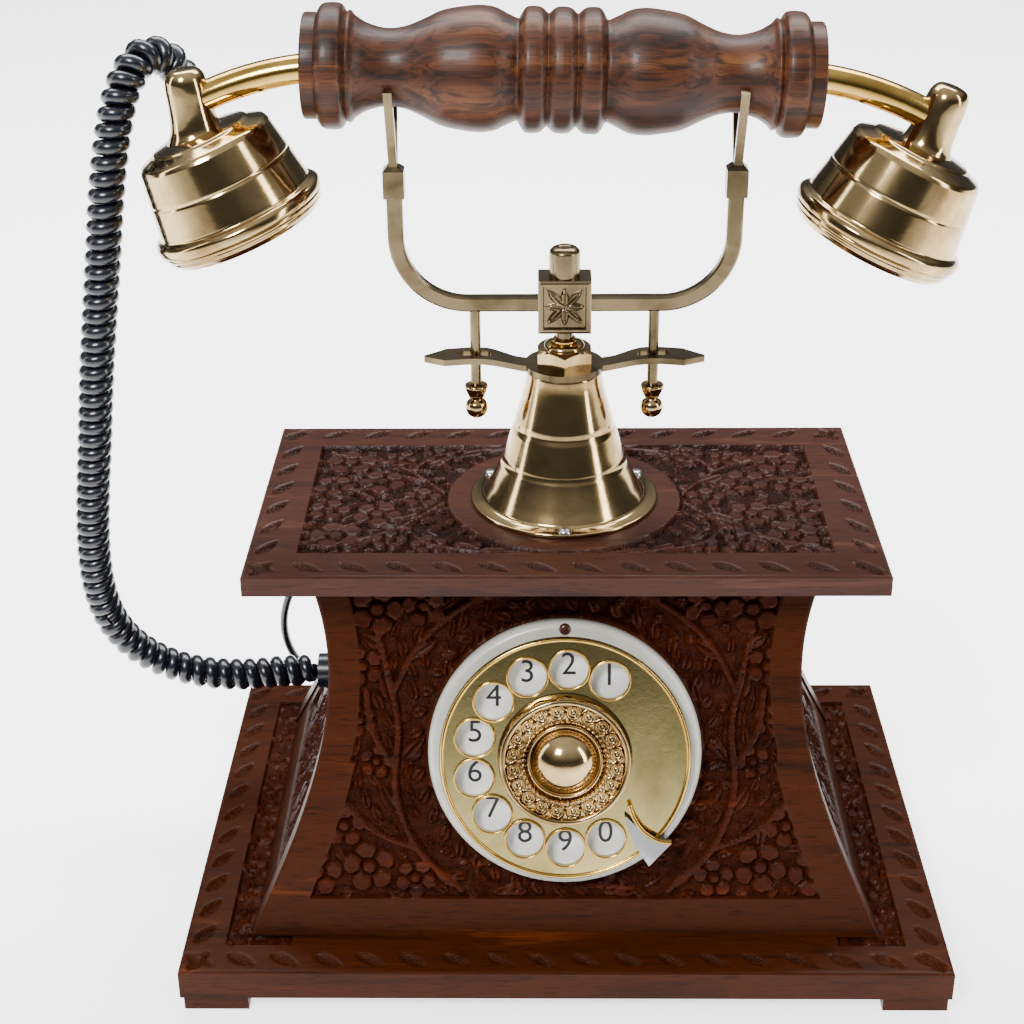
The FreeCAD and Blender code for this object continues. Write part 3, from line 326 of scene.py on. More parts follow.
def turned_sheesham():
    """Figured Indian rosewood, turned and polished: bands of colour and finer dark streaks run along the grip."""
    material, tree, here = new_material("turned_indian_rosewood")
    tilt = (0, HANDSET_TILT, 0)
    along = add(tree, "ShaderNodeMapping", {"Vector": here, "Rotation": tilt, "Scale": grain(134.68, 15.432)})
    bands = add(tree, "ShaderNodeTexNoise", {"Vector": along, "Scale": 1.0, "Detail": 6.0, "Roughness": 0.6,
                                             "Distortion": 1.7})
    body = add(tree, "ShaderNodeValToRGB", {"Fac": bands},
               [(0.28, linear("160905")), (0.42, linear("2f1609")), (0.54, linear("43220f")),
                (0.70, linear("613a1c"))])
    along = add(tree, "ShaderNodeMapping", {"Vector": here, "Rotation": tilt, "Scale": grain(96.154, 2.4038)})
    streaks = add(tree, "ShaderNodeTexNoise", {"Vector": along, "Scale": 1.0, "Detail": 5.0, "Roughness": 0.65,
                                               "Distortion": 0.9})
    streak_tone = add(tree, "ShaderNodeValToRGB", {"Fac": streaks}, [(0.40, grey(0.12)), (0.52, grey(1.0))])
    body = add(tree, "ShaderNodeMix", {0: 0.78, 6: body, 7: streak_tone}, data_type="RGBA", blend_type="MULTIPLY")
    finish_material(tree, {
        "Base Color": body.outputs[2],
        "Roughness": add(tree, "ShaderNodeMapRange", {"Value": streaks, "To Min": 0.55, "To Max": 0.36}),
        "Specular IOR Level": 0.22, "Coat Weight": 0.04, "Coat Roughness": 0.12,
        "Normal": add(tree, "ShaderNodeBump", {"Height": streaks, "Strength": 0.18, "Distance": 0.3 * MM})})
    return material


def worked_metal(name, colour, worn, roughness, wear_mm=26.316):
    """Polished metal that has been handled: clouds that are darker and less bright, and fine polishing marks.
    Real marks are far finer than 1.6 mm. They are drawn that coarse, so that they show."""
    material, tree, here = new_material(name)
    clouds = add(tree, "ShaderNodeTexNoise", {"Vector": here, "Scale": per_metre(wear_mm), "Detail": 5.0,
                                              "Roughness": 0.6, "Distortion": 0.6})
    marks = add(tree, "ShaderNodeTexNoise", {"Vector": here, "Scale": per_metre(1.6129), "Detail": 3.0,
                                             "Roughness": 0.6})
    finish_material(tree, {
        "Base Color": add(tree, "ShaderNodeValToRGB", {"Fac": clouds},
                          [(0.34, linear(worn)), (0.56, linear(colour))]),
        "Metallic": 1.0,
        "Roughness": add(tree, "ShaderNodeMapRange", {"Value": clouds, "To Min": roughness * 1.7,
                                                      "To Max": roughness * 0.8}),
        "Normal": add(tree, "ShaderNodeBump", {"Height": marks, "Strength": 0.05, "Distance": 0.2 * MM})})
    return material


def moulded(name, colour, roughness, coat=0.0, speck=0.04):
    """Moulded plastic or stoved enamel: even and smooth, with a faint mottle in its colour and gloss."""
    material, tree, here = new_material(name)
    mottle = add(tree, "ShaderNodeTexNoise", {"Vector": here, "Scale": per_metre(7.6923), "Detail": 4.0})
    base = linear(colour)
    darker = tuple(c * (1 - speck * 3) for c in base[:3]) + (1,)
    finish_material(tree, {
        "Base Color": add(tree, "ShaderNodeValToRGB", {"Fac": mottle}, [(0.35, darker), (0.6, base)]),
        "Roughness": add(tree, "ShaderNodeMapRange", {"Value": mottle, "To Min": roughness * 1.15,
                                                      "To Max": roughness * 0.9}),
        "Coat Weight": coat, "Coat Roughness": 0.08})
    return material


def clear_plastic():
    """Clear moulded polycarbonate, as of a modular plug: glassy, with faint clouds."""
    material, tree, here = new_material("clear_moulded_plug")
    clouds = add(tree, "ShaderNodeTexNoise", {"Vector": here, "Scale": per_metre(5.0), "Detail": 3.0})
    finish_material(tree, {
        "Base Color": add(tree, "ShaderNodeValToRGB", {"Fac": clouds},
                          [(0.3, linear("c8ccd0")), (0.7, linear("e4e8ea"))]),
        "Roughness": 0.12, "Transmission Weight": 0.6})
    return material


MATERIALS = {
    # The pair of darkest colours in each carved wood is the painted shade of the cut-away ground and the gouges.
    "case_wood": carved_sheesham("carved_indian_rosewood", "5a280b", "351504", "190802", "f2d8cc",
                                 ("160704", "36180e"), 0.62, 0.08),
    "top_wood": carved_sheesham("carved_rosewood_under_lacquer", "523023", "371b11", "1e0c08", "e2c8be",
                                ("0a0403", "200e09"), 0.78, 0.15),
    "grip_wood": turned_sheesham(),
    # Cast brass: deep brown-gold, nearly a mirror. The drawn tube and rims are yellower and brighter.
    "antique_brass": worked_metal("cast_brass_darkened_and_polished", "bfa372", "886d45", 0.10),
    "bright_brass": worked_metal("drawn_brass_polished", "c9a558", "a07d3c", 0.12),
    # The cradle's brass has aged, and is greyer and duller than the rest. Its colour is also darkened further, as a
    # painted dark reflection on its flat front faces.
    "pale_brass": worked_metal("aged_brass_with_painted_dark_reflection", "75664c", "463a28", 0.20),
    # Zinc plating is a cold, light grey. Spring steel is darker, and the pressed parts inside are dull.
    "steel": worked_metal("bright_zinc_plated_steel", "b9bab8", "8f908e", 0.20),
    "spring_steel": worked_metal("drawn_spring_steel", "8b8c8c", "666767", 0.28),
    "inner_steel": worked_metal("pressed_zinc_plated_steel", "a2a39d", "80817a", 0.34),
    # Rolled sheet under clear lacquer: greenish yellow, in wide soft clouds.
    "wheel_metal": worked_metal("lacquered_brass_sheet", "b8a66e", "8c7f4f", 0.11, 45.455),
    # The ring is a warm off-white with a soft gloss. The enamelled plate is whiter and glossier.
    "white_plastic": moulded("moulded_off_white_ring", "b5b3a9", 0.30, 0.2),
    "number_plate": moulded("white_enamelled_plate", "e4e4e0", 0.25, 0.4, 0.02),
    # Phenolic is a deep red-brown, and the cord's vinyl is almost black with a blue tinge.
    "dark_plastic": moulded("moulded_red_brown_phenolic", "3a130d", 0.30, 0.12, 0.08),
    "cord_plastic": moulded("extruded_blue_black_vinyl", "0c1019", 0.26, 0.2, 0.08),
    # Inside parts: satin nylon and the green board.
    "grey_plastic": moulded("moulded_grey_nylon", "5a5b5d", 0.45),
    "board": moulded("laminated_circuit_board", "1e5a2c", 0.40),
    "clear_plug": clear_plastic(),
}
# The sides of the case are oiled rather than lacquered, so they stay dark where light grazes them.
# Its pair of darkest colours is painted shade in the carved ground and gouges, as in the other carved woods.
SIDE_WOOD = carved_sheesham("carved_indian_rosewood_oiled", "50240c", "2e1205", "150703", "f4e0da",
                            ("120604", "2e140d"), 0.62, 0.02)
FIGURE_ENAMEL = moulded("black_figure_enamel", "0c0c0e", 0.35)


def dress(piece, slot_name, body, *nodes, material=None):
    """Gives a finished piece its material, the body that it moves with and the CAD nodes that it stands for."""
    piece.data.materials.clear()
    piece.data.materials.append(material or MATERIALS[slot_name])
    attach(piece, body)
    if nodes:
        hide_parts(*nodes)


def paint_cad_nodes():
    for entry in frame["record"]["subparts"]:
        node = frame["nodes"][entry["node"]]
        node.data.materials.clear()
        node.data.materials.append(MATERIALS[entry["material_slot"]])


# ---- camera, light and floor ---------------------------------------------------------------
CAMERA_PLACE_MM = (-7.451, -557.647, 421.4)
CAMERA_YAW_PITCH_ROLL = (-1.0, 26.93, -0.54)
LIT_AT = (0, 0, 0.15)
FLOOR_HALF = 6.0


def make_camera():
    camera = bpy.data.cameras.new("camera")
    camera.lens = 66.0
    camera.sensor_width = 36.0
    camera.clip_start = 0.01
    yaw, pitch, roll = (math.radians(a) for a in CAMERA_YAW_PITCH_ROLL)
    ahead = Vector((math.sin(yaw) * math.cos(pitch), math.cos(yaw) * math.cos(pitch), -math.sin(pitch)))
    level = Vector((math.cos(yaw), -math.sin(yaw), 0))
    above = level.cross(ahead)
    right = level * math.cos(roll) + above * math.sin(roll)
    top = above * math.cos(roll) - level * math.sin(roll)
    turn = Matrix((right, top, -ahead)).transposed()
    viewer = linked("camera", camera)
    viewer.matrix_world = Matrix.Translation(Vector(CAMERA_PLACE_MM) * MM) @ turn.to_4x4()
    bpy.context.scene.camera = viewer


def soft_light(name, place, aim, size, power):
    light = bpy.data.lights.new(name, "AREA")
    light.shape = "RECTANGLE"
    light.size, light.size_y = size
    light.energy = power
    lamp = linked(name, light)
    lamp.location = place
    lamp.rotation_euler = (Vector(aim) - Vector(place)).to_track_quat("-Z", "Y").to_euler()


def make_studio():
    """Soft light from above, darker at the sides, so that polished brass has something dark to reflect."""
    world = bpy.data.worlds.new("studio")
    bpy.context.scene.world = world
    world.use_nodes = True
    tree = world.node_tree
    background = tree.nodes["Background"]
    background.inputs["Color"].default_value = linear("eef1f5")
    way = add(tree, "ShaderNodeSeparateXYZ", {"Vector": add(tree, "ShaderNodeTexCoord").outputs["Generated"]})
    upper = add(tree, "ShaderNodeMapRange", {"Value": way.outputs["Z"], "From Min": 0.25, "From Max": 0.9,
                                             "To Min": 0.10, "To Max": 0.95})
    tree.links.new(upper.outputs["Result"], background.inputs["Strength"])
    soft_light("key", (-0.42, -0.80, 0.95), LIT_AT, (0.30, 0.30), 19)
    soft_light("fill", (0.95, -0.45, 0.50), LIT_AT, (0.16, 0.9), 6)
    soft_light("side", (-1.0, -0.10, 0.45), LIT_AT, (0.12, 0.9), 2.5)
    soft_light("over", (0.0, 0.60, 1.30), (0, 0.30, 0), (1.8, 0.6), 42)
    # The floor glows a little, and more behind the telephone, like a lit paper sweep.
    material, tree, here = new_material("pale_studio_floor")
    split = add(tree, "ShaderNodeSeparateXYZ", {"Vector": here})
    glow = add(tree, "ShaderNodeMapRange", {"Value": split.outputs["Y"], "From Min": -0.5, "From Max": 0.1,
                                            "To Min": 0.25, "To Max": 2.6})
    finish_material(tree, {"Base Color": linear("f4f4f4"), "Roughness": 0.7, "Emission Color": linear("ffffff"),
                           "Emission Strength": glow})
    corners = [(x * FLOOR_HALF, y * FLOOR_HALF, 0) for x, y in ((-1, -1), (1, -1), (1, 1), (-1, 1))]
    floor = new_mesh("floor", corners, [(0, 1, 2, 3)], smooth=False)
    floor.data.materials.append(material)


# ---- cords ---------------------------------------------------------------------------------
CURLY_ROUTE_MM = [
    (-90.4, 30.0, 57.8), (-101.0, 30.0, 57.8), (-114.0, 30.0, 56.0), (-129.0, 29.5, 56.6), (-143.5, 28.0, 61.5),
    (-154.5, 25.0, 71.0), (-161.0, 20.5, 84.5), (-163.0, 16.0, 101.0), (-162.0, 12.5, 119.0),
    (-159.2, 9.5, 140.0), (-155.6, 7.5, 162.0), (-152.4, 5.5, 184.0), (-148.6, 4.0, 206.0),
    (-144.8, 3.0, 228.0), (-141.8, 3.0, 248.0), (-138.2, 4.0, 266.0), (-134.4, 7.0, 280.0),
    (-128.5, 14.0, 288.5), (-121.5, 21.0, 284.5), (-117.5, 22.0, 275.5), (-114.4, 16.2, 269.6),
    (-112.9, 11.2, 269.6),
]
CURLY_WIRE_R = 2.42 * MM
CURLY_HELIX_R = 3.45 * MM
CURLY_PITCH = 5.05 * MM
CURLY_SPLIT_AT = 0.27
CURLY_CROWN_Z = 262 * MM
LINE_ROUTE_MM = [
    (-60.0, 60.6, 88.3), (-61.2, 72.6, 90.8), (-70.5, 82.0, 88.0), (-83.5, 87.0, 83.0), (-96.5, 88.0, 73.5),
    (-106.0, 87.5, 60.5), (-110.5, 88.0, 46.0), (-109.5, 90.5, 31.5), (-104.0, 94.5, 18.5), (-95.5, 99.5, 8.5),
    (-84.0, 104.5, 2.6), (-70.0, 108.5, 1.5), (-55.0, 110.5, 1.5), (-40.0, 109.5, 1.5), (-27.5, 107.0, 1.5),
    (-16.0, 104.6, 1.5), (-6.0, 103.6, 1.5),
]
LINE_R = 1.5 * MM
COIL_CENTRE_MM = (0.0, 126.0)
COIL_OUTER_MM = 21.6
COIL_STEP_MM = 3.05
COIL_RISE_MM = 2.95
COIL_LAYERS = 4
COIL_TURNS = 11
COIL_POINTS_PER_TURN = 16


def line_lengths(line):
    steps = np.linalg.norm(np.diff(line, axis=0), axis=1)
    return np.concatenate([[0], np.cumsum(steps)])


def resample(line, count):
    along = line_lengths(line)
    at = np.linspace(0, along[-1], count)
    return np.stack([np.interp(at, along, line[:, k]) for k in range(3)], axis=1)


def helix_around(line, radius, pitch, per_turn=18):
    """The centreline of a wire that winds around a line, carried by a frame that doesn't twist."""
    length = line_lengths(line)[-1]
    turns = length / pitch
    points = resample(line, int(turns * per_turn) + 1)
    tangents = np.gradient(points, axis=0)
    tangents /= np.linalg.norm(tangents, axis=1)[:, None]
    side = np.cross(tangents[0], (0, 0, 1.0))
    out = []
    for k, (p, t) in enumerate(zip(points, tangents)):
        side = side - t * side.dot(t)
        side /= np.linalg.norm(side)
        other = np.cross(t, side)
        ease = min(1.0, 0.25 + k / per_turn, (len(points) - 1 - k) / per_turn)
        a = 2 * math.pi * k / per_turn
        out.append(p + radius * ease * (side * math.cos(a) + other * math.sin(a)))
    return np.array(out)


def make_curly_cord():
    line = spline_line([(x * MM, y * MM, z * MM) for x, y, z in CURLY_ROUTE_MM])
    wire = helix_around(line, CURLY_HELIX_R, CURLY_PITCH)
    cut = int(len(wire) * CURLY_SPLIT_AT)
    lower, upper = wire[:cut + 1], wire[cut:]
    split = tuple(wire[cut])
    for name, part, bodies, start, end in (
            ("curly_cord_lower", lower, ("housing", "cradle"), tuple(wire[0]), split),
            ("curly_cord_upper", upper, ("cradle", "handset"), split, (split[0], split[1], CURLY_CROWN_Z))):
        piece = tube_mesh(name, part, CURLY_WIRE_R)
        piece.data.materials.append(MATERIALS["cord_plastic"])
        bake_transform(piece)
        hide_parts("handset_cord")


def make_line_cord():
    points = [(x * MM, y * MM, z * MM) for x, y, z in LINE_ROUTE_MM]
    turns_per_layer = COIL_TURNS / COIL_LAYERS
    width = COIL_STEP_MM * (turns_per_layer - 0.75)
    for k in range(COIL_TURNS * COIL_POINTS_PER_TURN + 1):
        turn = k / COIL_POINTS_PER_TURN
        layer = min(int(turn / turns_per_layer), COIL_LAYERS - 1)
        share = turn / turns_per_layer - layer
        inwards = share if layer % 2 == 0 else 1 - share
        climb = layer + max(0.0, (share - 0.85) / 0.15) * (layer < COIL_LAYERS - 1)
        radius = COIL_OUTER_MM - inwards * width
        angle = 2 * math.pi * turn - math.pi / 2
        points.append(((COIL_CENTRE_MM[0] + radius * math.cos(angle)) * MM,
                       (COIL_CENTRE_MM[1] + radius * math.sin(angle)) * MM,
                       LINE_R + climb * COIL_RISE_MM * MM))
    plug_low, plug_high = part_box("line_plug")
    plug_x = (plug_low.x + plug_high.x) / 2
    plug_z = (plug_low.z + plug_high.z) / 2
    points += [(0.010, 0.1046, 0.0095), (0.021, 0.1052, 0.0065), (plug_x - 0.004, 0.1075, plug_z),
               (plug_x, plug_low.y, plug_z)]
    cord = spline_object("line_cord_route", points, LINE_R)
    cord.data.materials.append(MATERIALS["cord_plastic"])
    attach(cord, "housing")
    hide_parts("line_cord", "line_cord_coil")
    length = line_lengths(spline_line(points))[-1]


# ---- carving -------------------------------------------------------------------------------
CASE_DEPTH_MM = 2.1
SIDE_DEPTH_MM = 1.8
TOP_DEPTH_MM = 1.9
BASE_DEPTH_MM = 1.7
FIELD_WALL_MM = 0.7
BORDER_CUT_SPACING_MM = 13.4
BORDER_CUT_LENGTH_MM = 12.0
BORDER_CUT_DEPTH_MM = 2.0
BORDER_CUT_SLANT = math.radians(32)
DIAL_SEAT_R_MM = 44.5
DIAL_HOLE_R_MM = 37.0
BELL_SEAT_R_MM = 38.7
CORD_EXIT_MM = (30.0, 41.8)
CORD_EXIT_SEAT_R_MM = 9.5


def soft_step(x):
    t = np.clip(x, 0, 1)
    return t * t * (3 - 2 * t)


def field_inside(distance):
    """1 where the ground is cut away, from the distance in millimetres inside the field's outline."""
    return soft_step(distance / FIELD_WALL_MM + 0.5)


def new_carving(u, v, field, depth):
    """u and v are grids in millimetres. field is 1 where the ground is cut away, and 0 on plain borders."""
    return {"u": u, "v": v, "field": field, "depth": depth, "lift": np.zeros_like(u), "gouge": np.zeros_like(u)}


def near_point(carving, x, y, reach):
    return (np.abs(carving["u"] - x) < reach) & (np.abs(carving["v"] - y) < reach)


def raise_to(carving, near, height):
    carving["lift"][near] = np.maximum(carving["lift"][near], height)


def along_and_across(carving, near, x, y, heading):
    du, dv = carving["u"][near] - x, carving["v"][near] - y
    return (du * math.cos(heading) + dv * math.sin(heading),
            dv * math.cos(heading) - du * math.sin(heading))


def mirrored(carving):
    """The same carving with its columns in the other order."""
    return {key: grid[:, ::-1] if isinstance(grid, np.ndarray) else grid for key, grid in carving.items()}


def flower(carving, x, y, radius, turn=0.3, petals=5):
    """Round petals with a dark cut between them, round a button."""
    near = near_point(carving, x, y, radius + 1)
    du, dv = carving["u"][near] - x, carving["v"][near] - y
    rho, phi = np.hypot(du, dv), np.arctan2(dv, du) - turn
    step = 2 * math.pi / petals
    off = (phi + step / 2) % step - step / 2
    petal_r = 0.44 * radius
    out = radius - petal_r
    from_petal = np.hypot(rho * np.cos(off) - out, rho * np.sin(off))
    body = soft_step((petal_r - from_petal) / 0.8)
    notch = 1 - 0.9 * np.exp(-((rho * np.sin(step / 2 - np.abs(off))) / 0.5) ** 2)
    dish = 0.86 + 0.14 * (from_petal / petal_r) ** 2
    height = body * notch * dish
    height = height * (1 - 0.85 * np.exp(-((rho - 0.31 * radius) / 0.42) ** 2))
    height = np.maximum(height * (rho > 0.3 * radius), soft_step((0.28 * radius - rho) / 0.7))
    raise_to(carving, near, height)


def leaf(carving, x, y, length, width, heading, bend=0.0):
    """A pointed leaf from its foot at (x, y), with a vein and one half lower than the other."""
    near = near_point(carving, x, y, length + 2)
    a, b = along_and_across(carving, near, x, y, heading)
    t = np.clip(a / length, 0, 1)
    b = b - bend * length * t * t
    half = width / 2 * np.sin(math.pi * t ** 0.85) ** 0.8
    body = soft_step((half - np.abs(b)) / 0.75) * (a > 0) * (a < length)
    vein = 1 - 0.65 * np.exp(-(b / 0.32) ** 2)
    tilt = 0.82 + 0.18 * np.clip(b / (width / 2), -1, 1)
    raise_to(carving, near, body * vein * tilt)


def stem(carving, points, width=1.9):
    for p in curved(points, 14):
        near = near_point(carving, p[0], p[1], width + 1)
        distance = np.hypot(carving["u"][near] - p[0], carving["v"][near] - p[1])
        raise_to(carving, near, 0.9 * soft_step((width / 2 + 0.35 - distance) / 0.7))


def bud(carving, x, y, radius):
    near = near_point(carving, x, y, radius + 1)
    distance = np.hypot(carving["u"][near] - x, carving["v"][near] - y)
    height = soft_step((radius - distance) / 0.9) * (1 - 0.6 * np.exp(-((distance - 0.45 * radius) / 0.35) ** 2))
    raise_to(carving, near, 0.92 * height)


def gouge(carving, x, y, length, width, heading, depth):
    """A cut into a plain border, deepest at one end, as a curved chisel leaves it."""
    near = near_point(carving, x, y, length)
    a, b = along_and_across(carving, near, x, y, heading)
    t = np.clip(a / length + 0.5, 0, 1)
    half = width / 2 * np.sin(math.pi * t ** 0.7)
    cut = depth * soft_step((half - np.abs(b)) / (width * 0.3)) * (0.5 + 0.5 * t)
    carving["gouge"][near] = np.maximum(carving["gouge"][near], cut)


def fill_gaps(carving, seed, spacing, heading_at, count=4200):
    """Scatters leaves and buds over the ground that the drawn motifs leave bare."""
    rng = np.random.default_rng(seed)
    inside = np.argwhere(carving["field"] > 0.98)
    placed = []
    for row, column in inside[rng.integers(0, len(inside), count)]:
        x, y = carving["u"][row, column], carving["v"][row, column]
        if any((x - p[0]) ** 2 + (y - p[1]) ** 2 < spacing ** 2 for p in placed):
            continue
        near = near_point(carving, x, y, 2.0)
        if carving["lift"][near].mean() > 0.12:
            continue
        placed.append((x, y))
        heading = heading_at(x, y) + rng.uniform(-0.6, 0.6)
        if rng.random() < 0.22:
            bud(carving, x, y, rng.uniform(1.7, 2.3))
        else:
            leaf(carving, x - 3.4 * math.cos(heading), y - 3.4 * math.sin(heading), rng.uniform(6.5, 9.5),
                 rng.uniform(3.2, 4.2), heading, rng.uniform(-0.25, 0.25))


def carved_height(carving, edge):
    """Height in millimetres over the uncut board. edge is the distance to the board's edge."""
    cut = carving["depth"] * carving["field"] * (1 - carving["lift"])
    worn_edge = 0.55 * np.clip(1 - edge / 1.1, 0, 1) ** 2
    return -(cut + carving["gouge"] + worn_edge)


def board(name, face, left_back, right_back, carving, keep=None):
    """A closed board: a dense carved face, plain walls and a back that runs from side to side.
    face is a (rows, columns, 3) grid, and the backs are one point for each row, in millimetres."""
    rows, columns = face.shape[:2]
    count = rows * columns
    vertices = np.concatenate([face.reshape(-1, 3), left_back, right_back])
    grid = np.arange(count).reshape(rows, columns)
    left, right = count + np.arange(rows), count + rows + np.arange(rows)
    quads = np.stack([grid[:-1, :-1], grid[:-1, 1:], grid[1:, 1:], grid[1:, :-1]], axis=-1)
    quads = quads.reshape(-1, 4) if keep is None else quads[keep]
    faces = quads.tolist()
    for k in range(rows - 1):
        faces.append((left[k], grid[k, 0], grid[k + 1, 0], left[k + 1]))
        faces.append((grid[k, -1], right[k], right[k + 1], grid[k + 1, -1]))
        faces.append((right[k], left[k], left[k + 1], right[k + 1]))
    faces.append((left[0], right[0], *grid[0, ::-1]))
    faces.append((right[-1], left[-1], *grid[-1]))
    piece = new_mesh(name, vertices, faces)
    extra = np.zeros(2 * rows)
    # The ground mask covers the cut-away ground and the gouges: the wood materials paint shade there with darker
    # colours, and give it less gloss.
    ground = carving["field"] * (1 - soft_step(carving["lift"] * 1.6)) + 0.75 * soft_step(carving["gouge"] / 1.2)
    point_attribute(piece, "field", np.concatenate([carving["field"].ravel(), extra]))
    point_attribute(piece, "ground", np.concatenate([np.clip(ground, 0, 1).ravel(), extra]))
    put(piece)
    return piece


def case_half_width(share, inset=0.0):
    """Half-width of the waisted case at a share of its height."""
    shares, widths = zip(*CASE_HALF_WIDTHS_MM)
    spline = np.polyfit(shares, widths, 4)
    return np.polyval(spline, share) - inset


def border_gouges(carving, half_u, half_v, inset, width):
    """Slanting chisel cuts in a row along the four sides of a board."""
    for side_half, other_half, swap in ((half_u, half_v, False), (half_v, half_u, True)):
        count = int(2 * (side_half - inset) / BORDER_CUT_SPACING_MM)
        for k in range(count + 1):
            along = -side_half + inset + 2 * (side_half - inset) * k / count
            for sign in (-1, 1):
                across = sign * (other_half - inset)
                heading = BORDER_CUT_SLANT * sign + (math.pi / 2 if swap else 0)
                where = (across, along) if swap else (along, across)
                gouge(carving, *where, BORDER_CUT_LENGTH_MM, width, heading, BORDER_CUT_DEPTH_MM)


def make_front_panel(name, node, sign):
    """A leaning panel: sign is -1 for the front, with the dial's hole, and 1 for the rear."""
    slope_mm = (CASE_TOP_MM - CASE_BOTTOM_MM) / math.cos(LEAN)
    rows, columns = 212, 330
    share = np.linspace(0, 1, rows)[:, None]
    across = np.linspace(-1, 1, columns)[None, :]
    half = case_half_width(share)
    u = across * half
    v = np.broadcast_to(share * slope_mm, u.shape)
    edge = np.minimum((1 - np.abs(across)) * half, np.minimum(v + 2, slope_mm - v + 2))
    side_border = np.where(v < 60, 13.0, 11.0) * (half / 84.0) ** 0.4
    inside = np.minimum((half - np.abs(u)) - side_border, v - 13.5)
    carving = new_carving(u, v, field_inside(inside), CASE_DEPTH_MM)
    for s in (-1, 1):
        stem(carving, [(s * 34, 16), (s * 48, 30), (s * 55, 50), (s * 54, 74), (s * 60, 104)], 2.6)
        stem(carving, [(s * 48, 30), (s * 62, 36), (s * 72, 46)], 2.4)
        stem(carving, [(s * 55, 58), (s * 62, 70), (s * 64, 84)], 2.4)
        stem(carving, [(s * 55, 84), (s * 46, 100), (s * 30, 113), (s * 12, 119)], 2.4)
        for x, y, r in ((64, 24, 9.2), (81, 22, 8.6), (49, 20, 7.2), (72, 38, 7.6), (60, 111, 9.0),
                        (65, 92, 7.2), (45, 112, 7.4), (61, 60, 6.2), (27, 118, 6.2), (66, 74, 6.0)):
            flower(carving, s * x, y, r, 0.3 * s + x * 0.13)
        for x, y, length, heading in ((54, 42, 13, 0.9), (53, 60, 12, 2.2), (56, 80, 12, 1.2), (50, 94, 12, 2.4),
                                      (38, 108, 11, 0.6), (34, 17, 12, 0.5), (24, 15, 11, 2.9), (72, 46, 9, 1.1),
                                      (14, 118, 10, 0.2), (36, 119, 9, 3.2), (57, 98, 10, 0.4), (12, 15, 9, 0.2)):
            turned = heading if s > 0 else math.pi - heading
            leaf(carving, s * x, y, length, 5.0, turned, 0.14 * s)
    centre = DIAL_UP_PANEL_MM
    for k in range(42):
        a = 2 * math.pi * k / 42
        leaf(carving, 46.0 * math.cos(a), centre + 46.0 * math.sin(a), 6.6, 4.4, a + 0.55, 0.15)
    fill_gaps(carving, 5, 5.4, lambda x, y: math.atan2(y - centre, x) + (1.2 if x > 0 else -1.2))
    from_dial = np.hypot(u, v - centre)
    if sign < 0:
        carving["field"] = carving["field"] * soft_step((from_dial - DIAL_SEAT_R_MM) / 0.8)
    height = carved_height(carving, edge)
    outwards = np.array([0, math.cos(LEAN), math.sin(LEAN)])
    upwards = np.array([0, -math.sin(LEAN), math.cos(LEAN)])
    foot = np.array([0, PANEL_BOTTOM_Y_MM, CASE_BOTTOM_MM])
    across_way = np.array([1.0, 0, 0])
    face = foot + u[..., None] * across_way + v[..., None] * upwards + height[..., None] * outwards
    inner = PANEL_THICK_MM / math.cos(LEAN)
    ends = [foot + np.stack([s * half[:, 0], np.zeros(rows), np.zeros(rows)], 1)
            + share * slope_mm * upwards - np.array([0, inner, 0]) for s in (-1, 1)]
    if sign < 0:
        face = face * (1, -1, 1)
        ends = [e * (1, -1, 1) for e in ends]
        piece = board(name, face, *ends, carving, keep=from_dial[:-1, :-1] > DIAL_HOLE_R_MM)
    else:
        piece = board(name, face[:, ::-1], *ends[::-1], mirrored(carving))
    dress(piece, "case_wood", "housing", node)


def make_side_panel(name, node, sign):
    """A side panel that follows the waisted curve, between the front and rear panels."""
    rows, columns = 150, 130
    share = np.linspace(0, 1, rows)[:, None]
    across = np.linspace(-1, 1, columns)[None, :]
    rise = CASE_TOP_MM - CASE_BOTTOM_MM
    z = CASE_BOTTOM_MM + share * rise
    half_y = PANEL_BOTTOM_Y_MM - share * rise * math.tan(LEAN) - PANEL_THICK_MM / math.cos(LEAN)
    u = across * half_y
    v = np.broadcast_to(share * rise, u.shape)
    inside = np.minimum(half_y - np.abs(u) - 7.0, np.minimum(v - 13.0, rise - v - 5.0))
    carving = new_carving(u, v, field_inside(inside), SIDE_DEPTH_MM)
    for s in (-1, 1):
        stem(carving, [(s * 2, 15), (s * 16, 34), (s * 8, 60), (s * 14, 84), (s * 4, 108)])
        for x, y, r in ((28, 24, 8.5), (12, 50, 7.0), (22, 66, 7.0), (10, 92, 7.5), (33, 45, 5.5)):
            flower(carving, s * x, y, r, x * 0.2 * s)
        for x, y, length, heading in ((16, 34, 9, 0.5), (8, 62, 9, 2.4), (13, 82, 9, 0.6), (4, 108, 7, 2.2)):
            leaf(carving, s * x, y, length, 4.0, heading if s > 0 else math.pi - heading, 0.1 * s)
    fill_gaps(carving, 8, 5.4, lambda x, y: math.pi / 2)
    if sign < 0:
        from_exit = np.hypot(u - CORD_EXIT_MM[0], v - CORD_EXIT_MM[1])
        carving["field"] = carving["field"] * soft_step(from_exit - CORD_EXIT_SEAT_R_MM)
    height = carved_height(carving, np.full_like(u, 5.0))
    outer = case_half_width(share, SIDE_INSET_MM)
    x = outer + height
    face = np.stack([x, u, np.broadcast_to(z, u.shape)], axis=-1)
    backs = [np.stack([outer[:, 0] - SIDE_THICK_MM, s * half_y[:, 0], z[:, 0]], 1) for s in (-1, 1)]
    if sign < 0:
        face = (face * (-1, 1, 1))[:, ::-1]
        backs = [b * (-1, 1, 1) for b in backs[::-1]]
        carving = mirrored(carving)
    dress(board(name, face, *backs, carving), "case_wood", "housing", node, material=SIDE_WOOD)


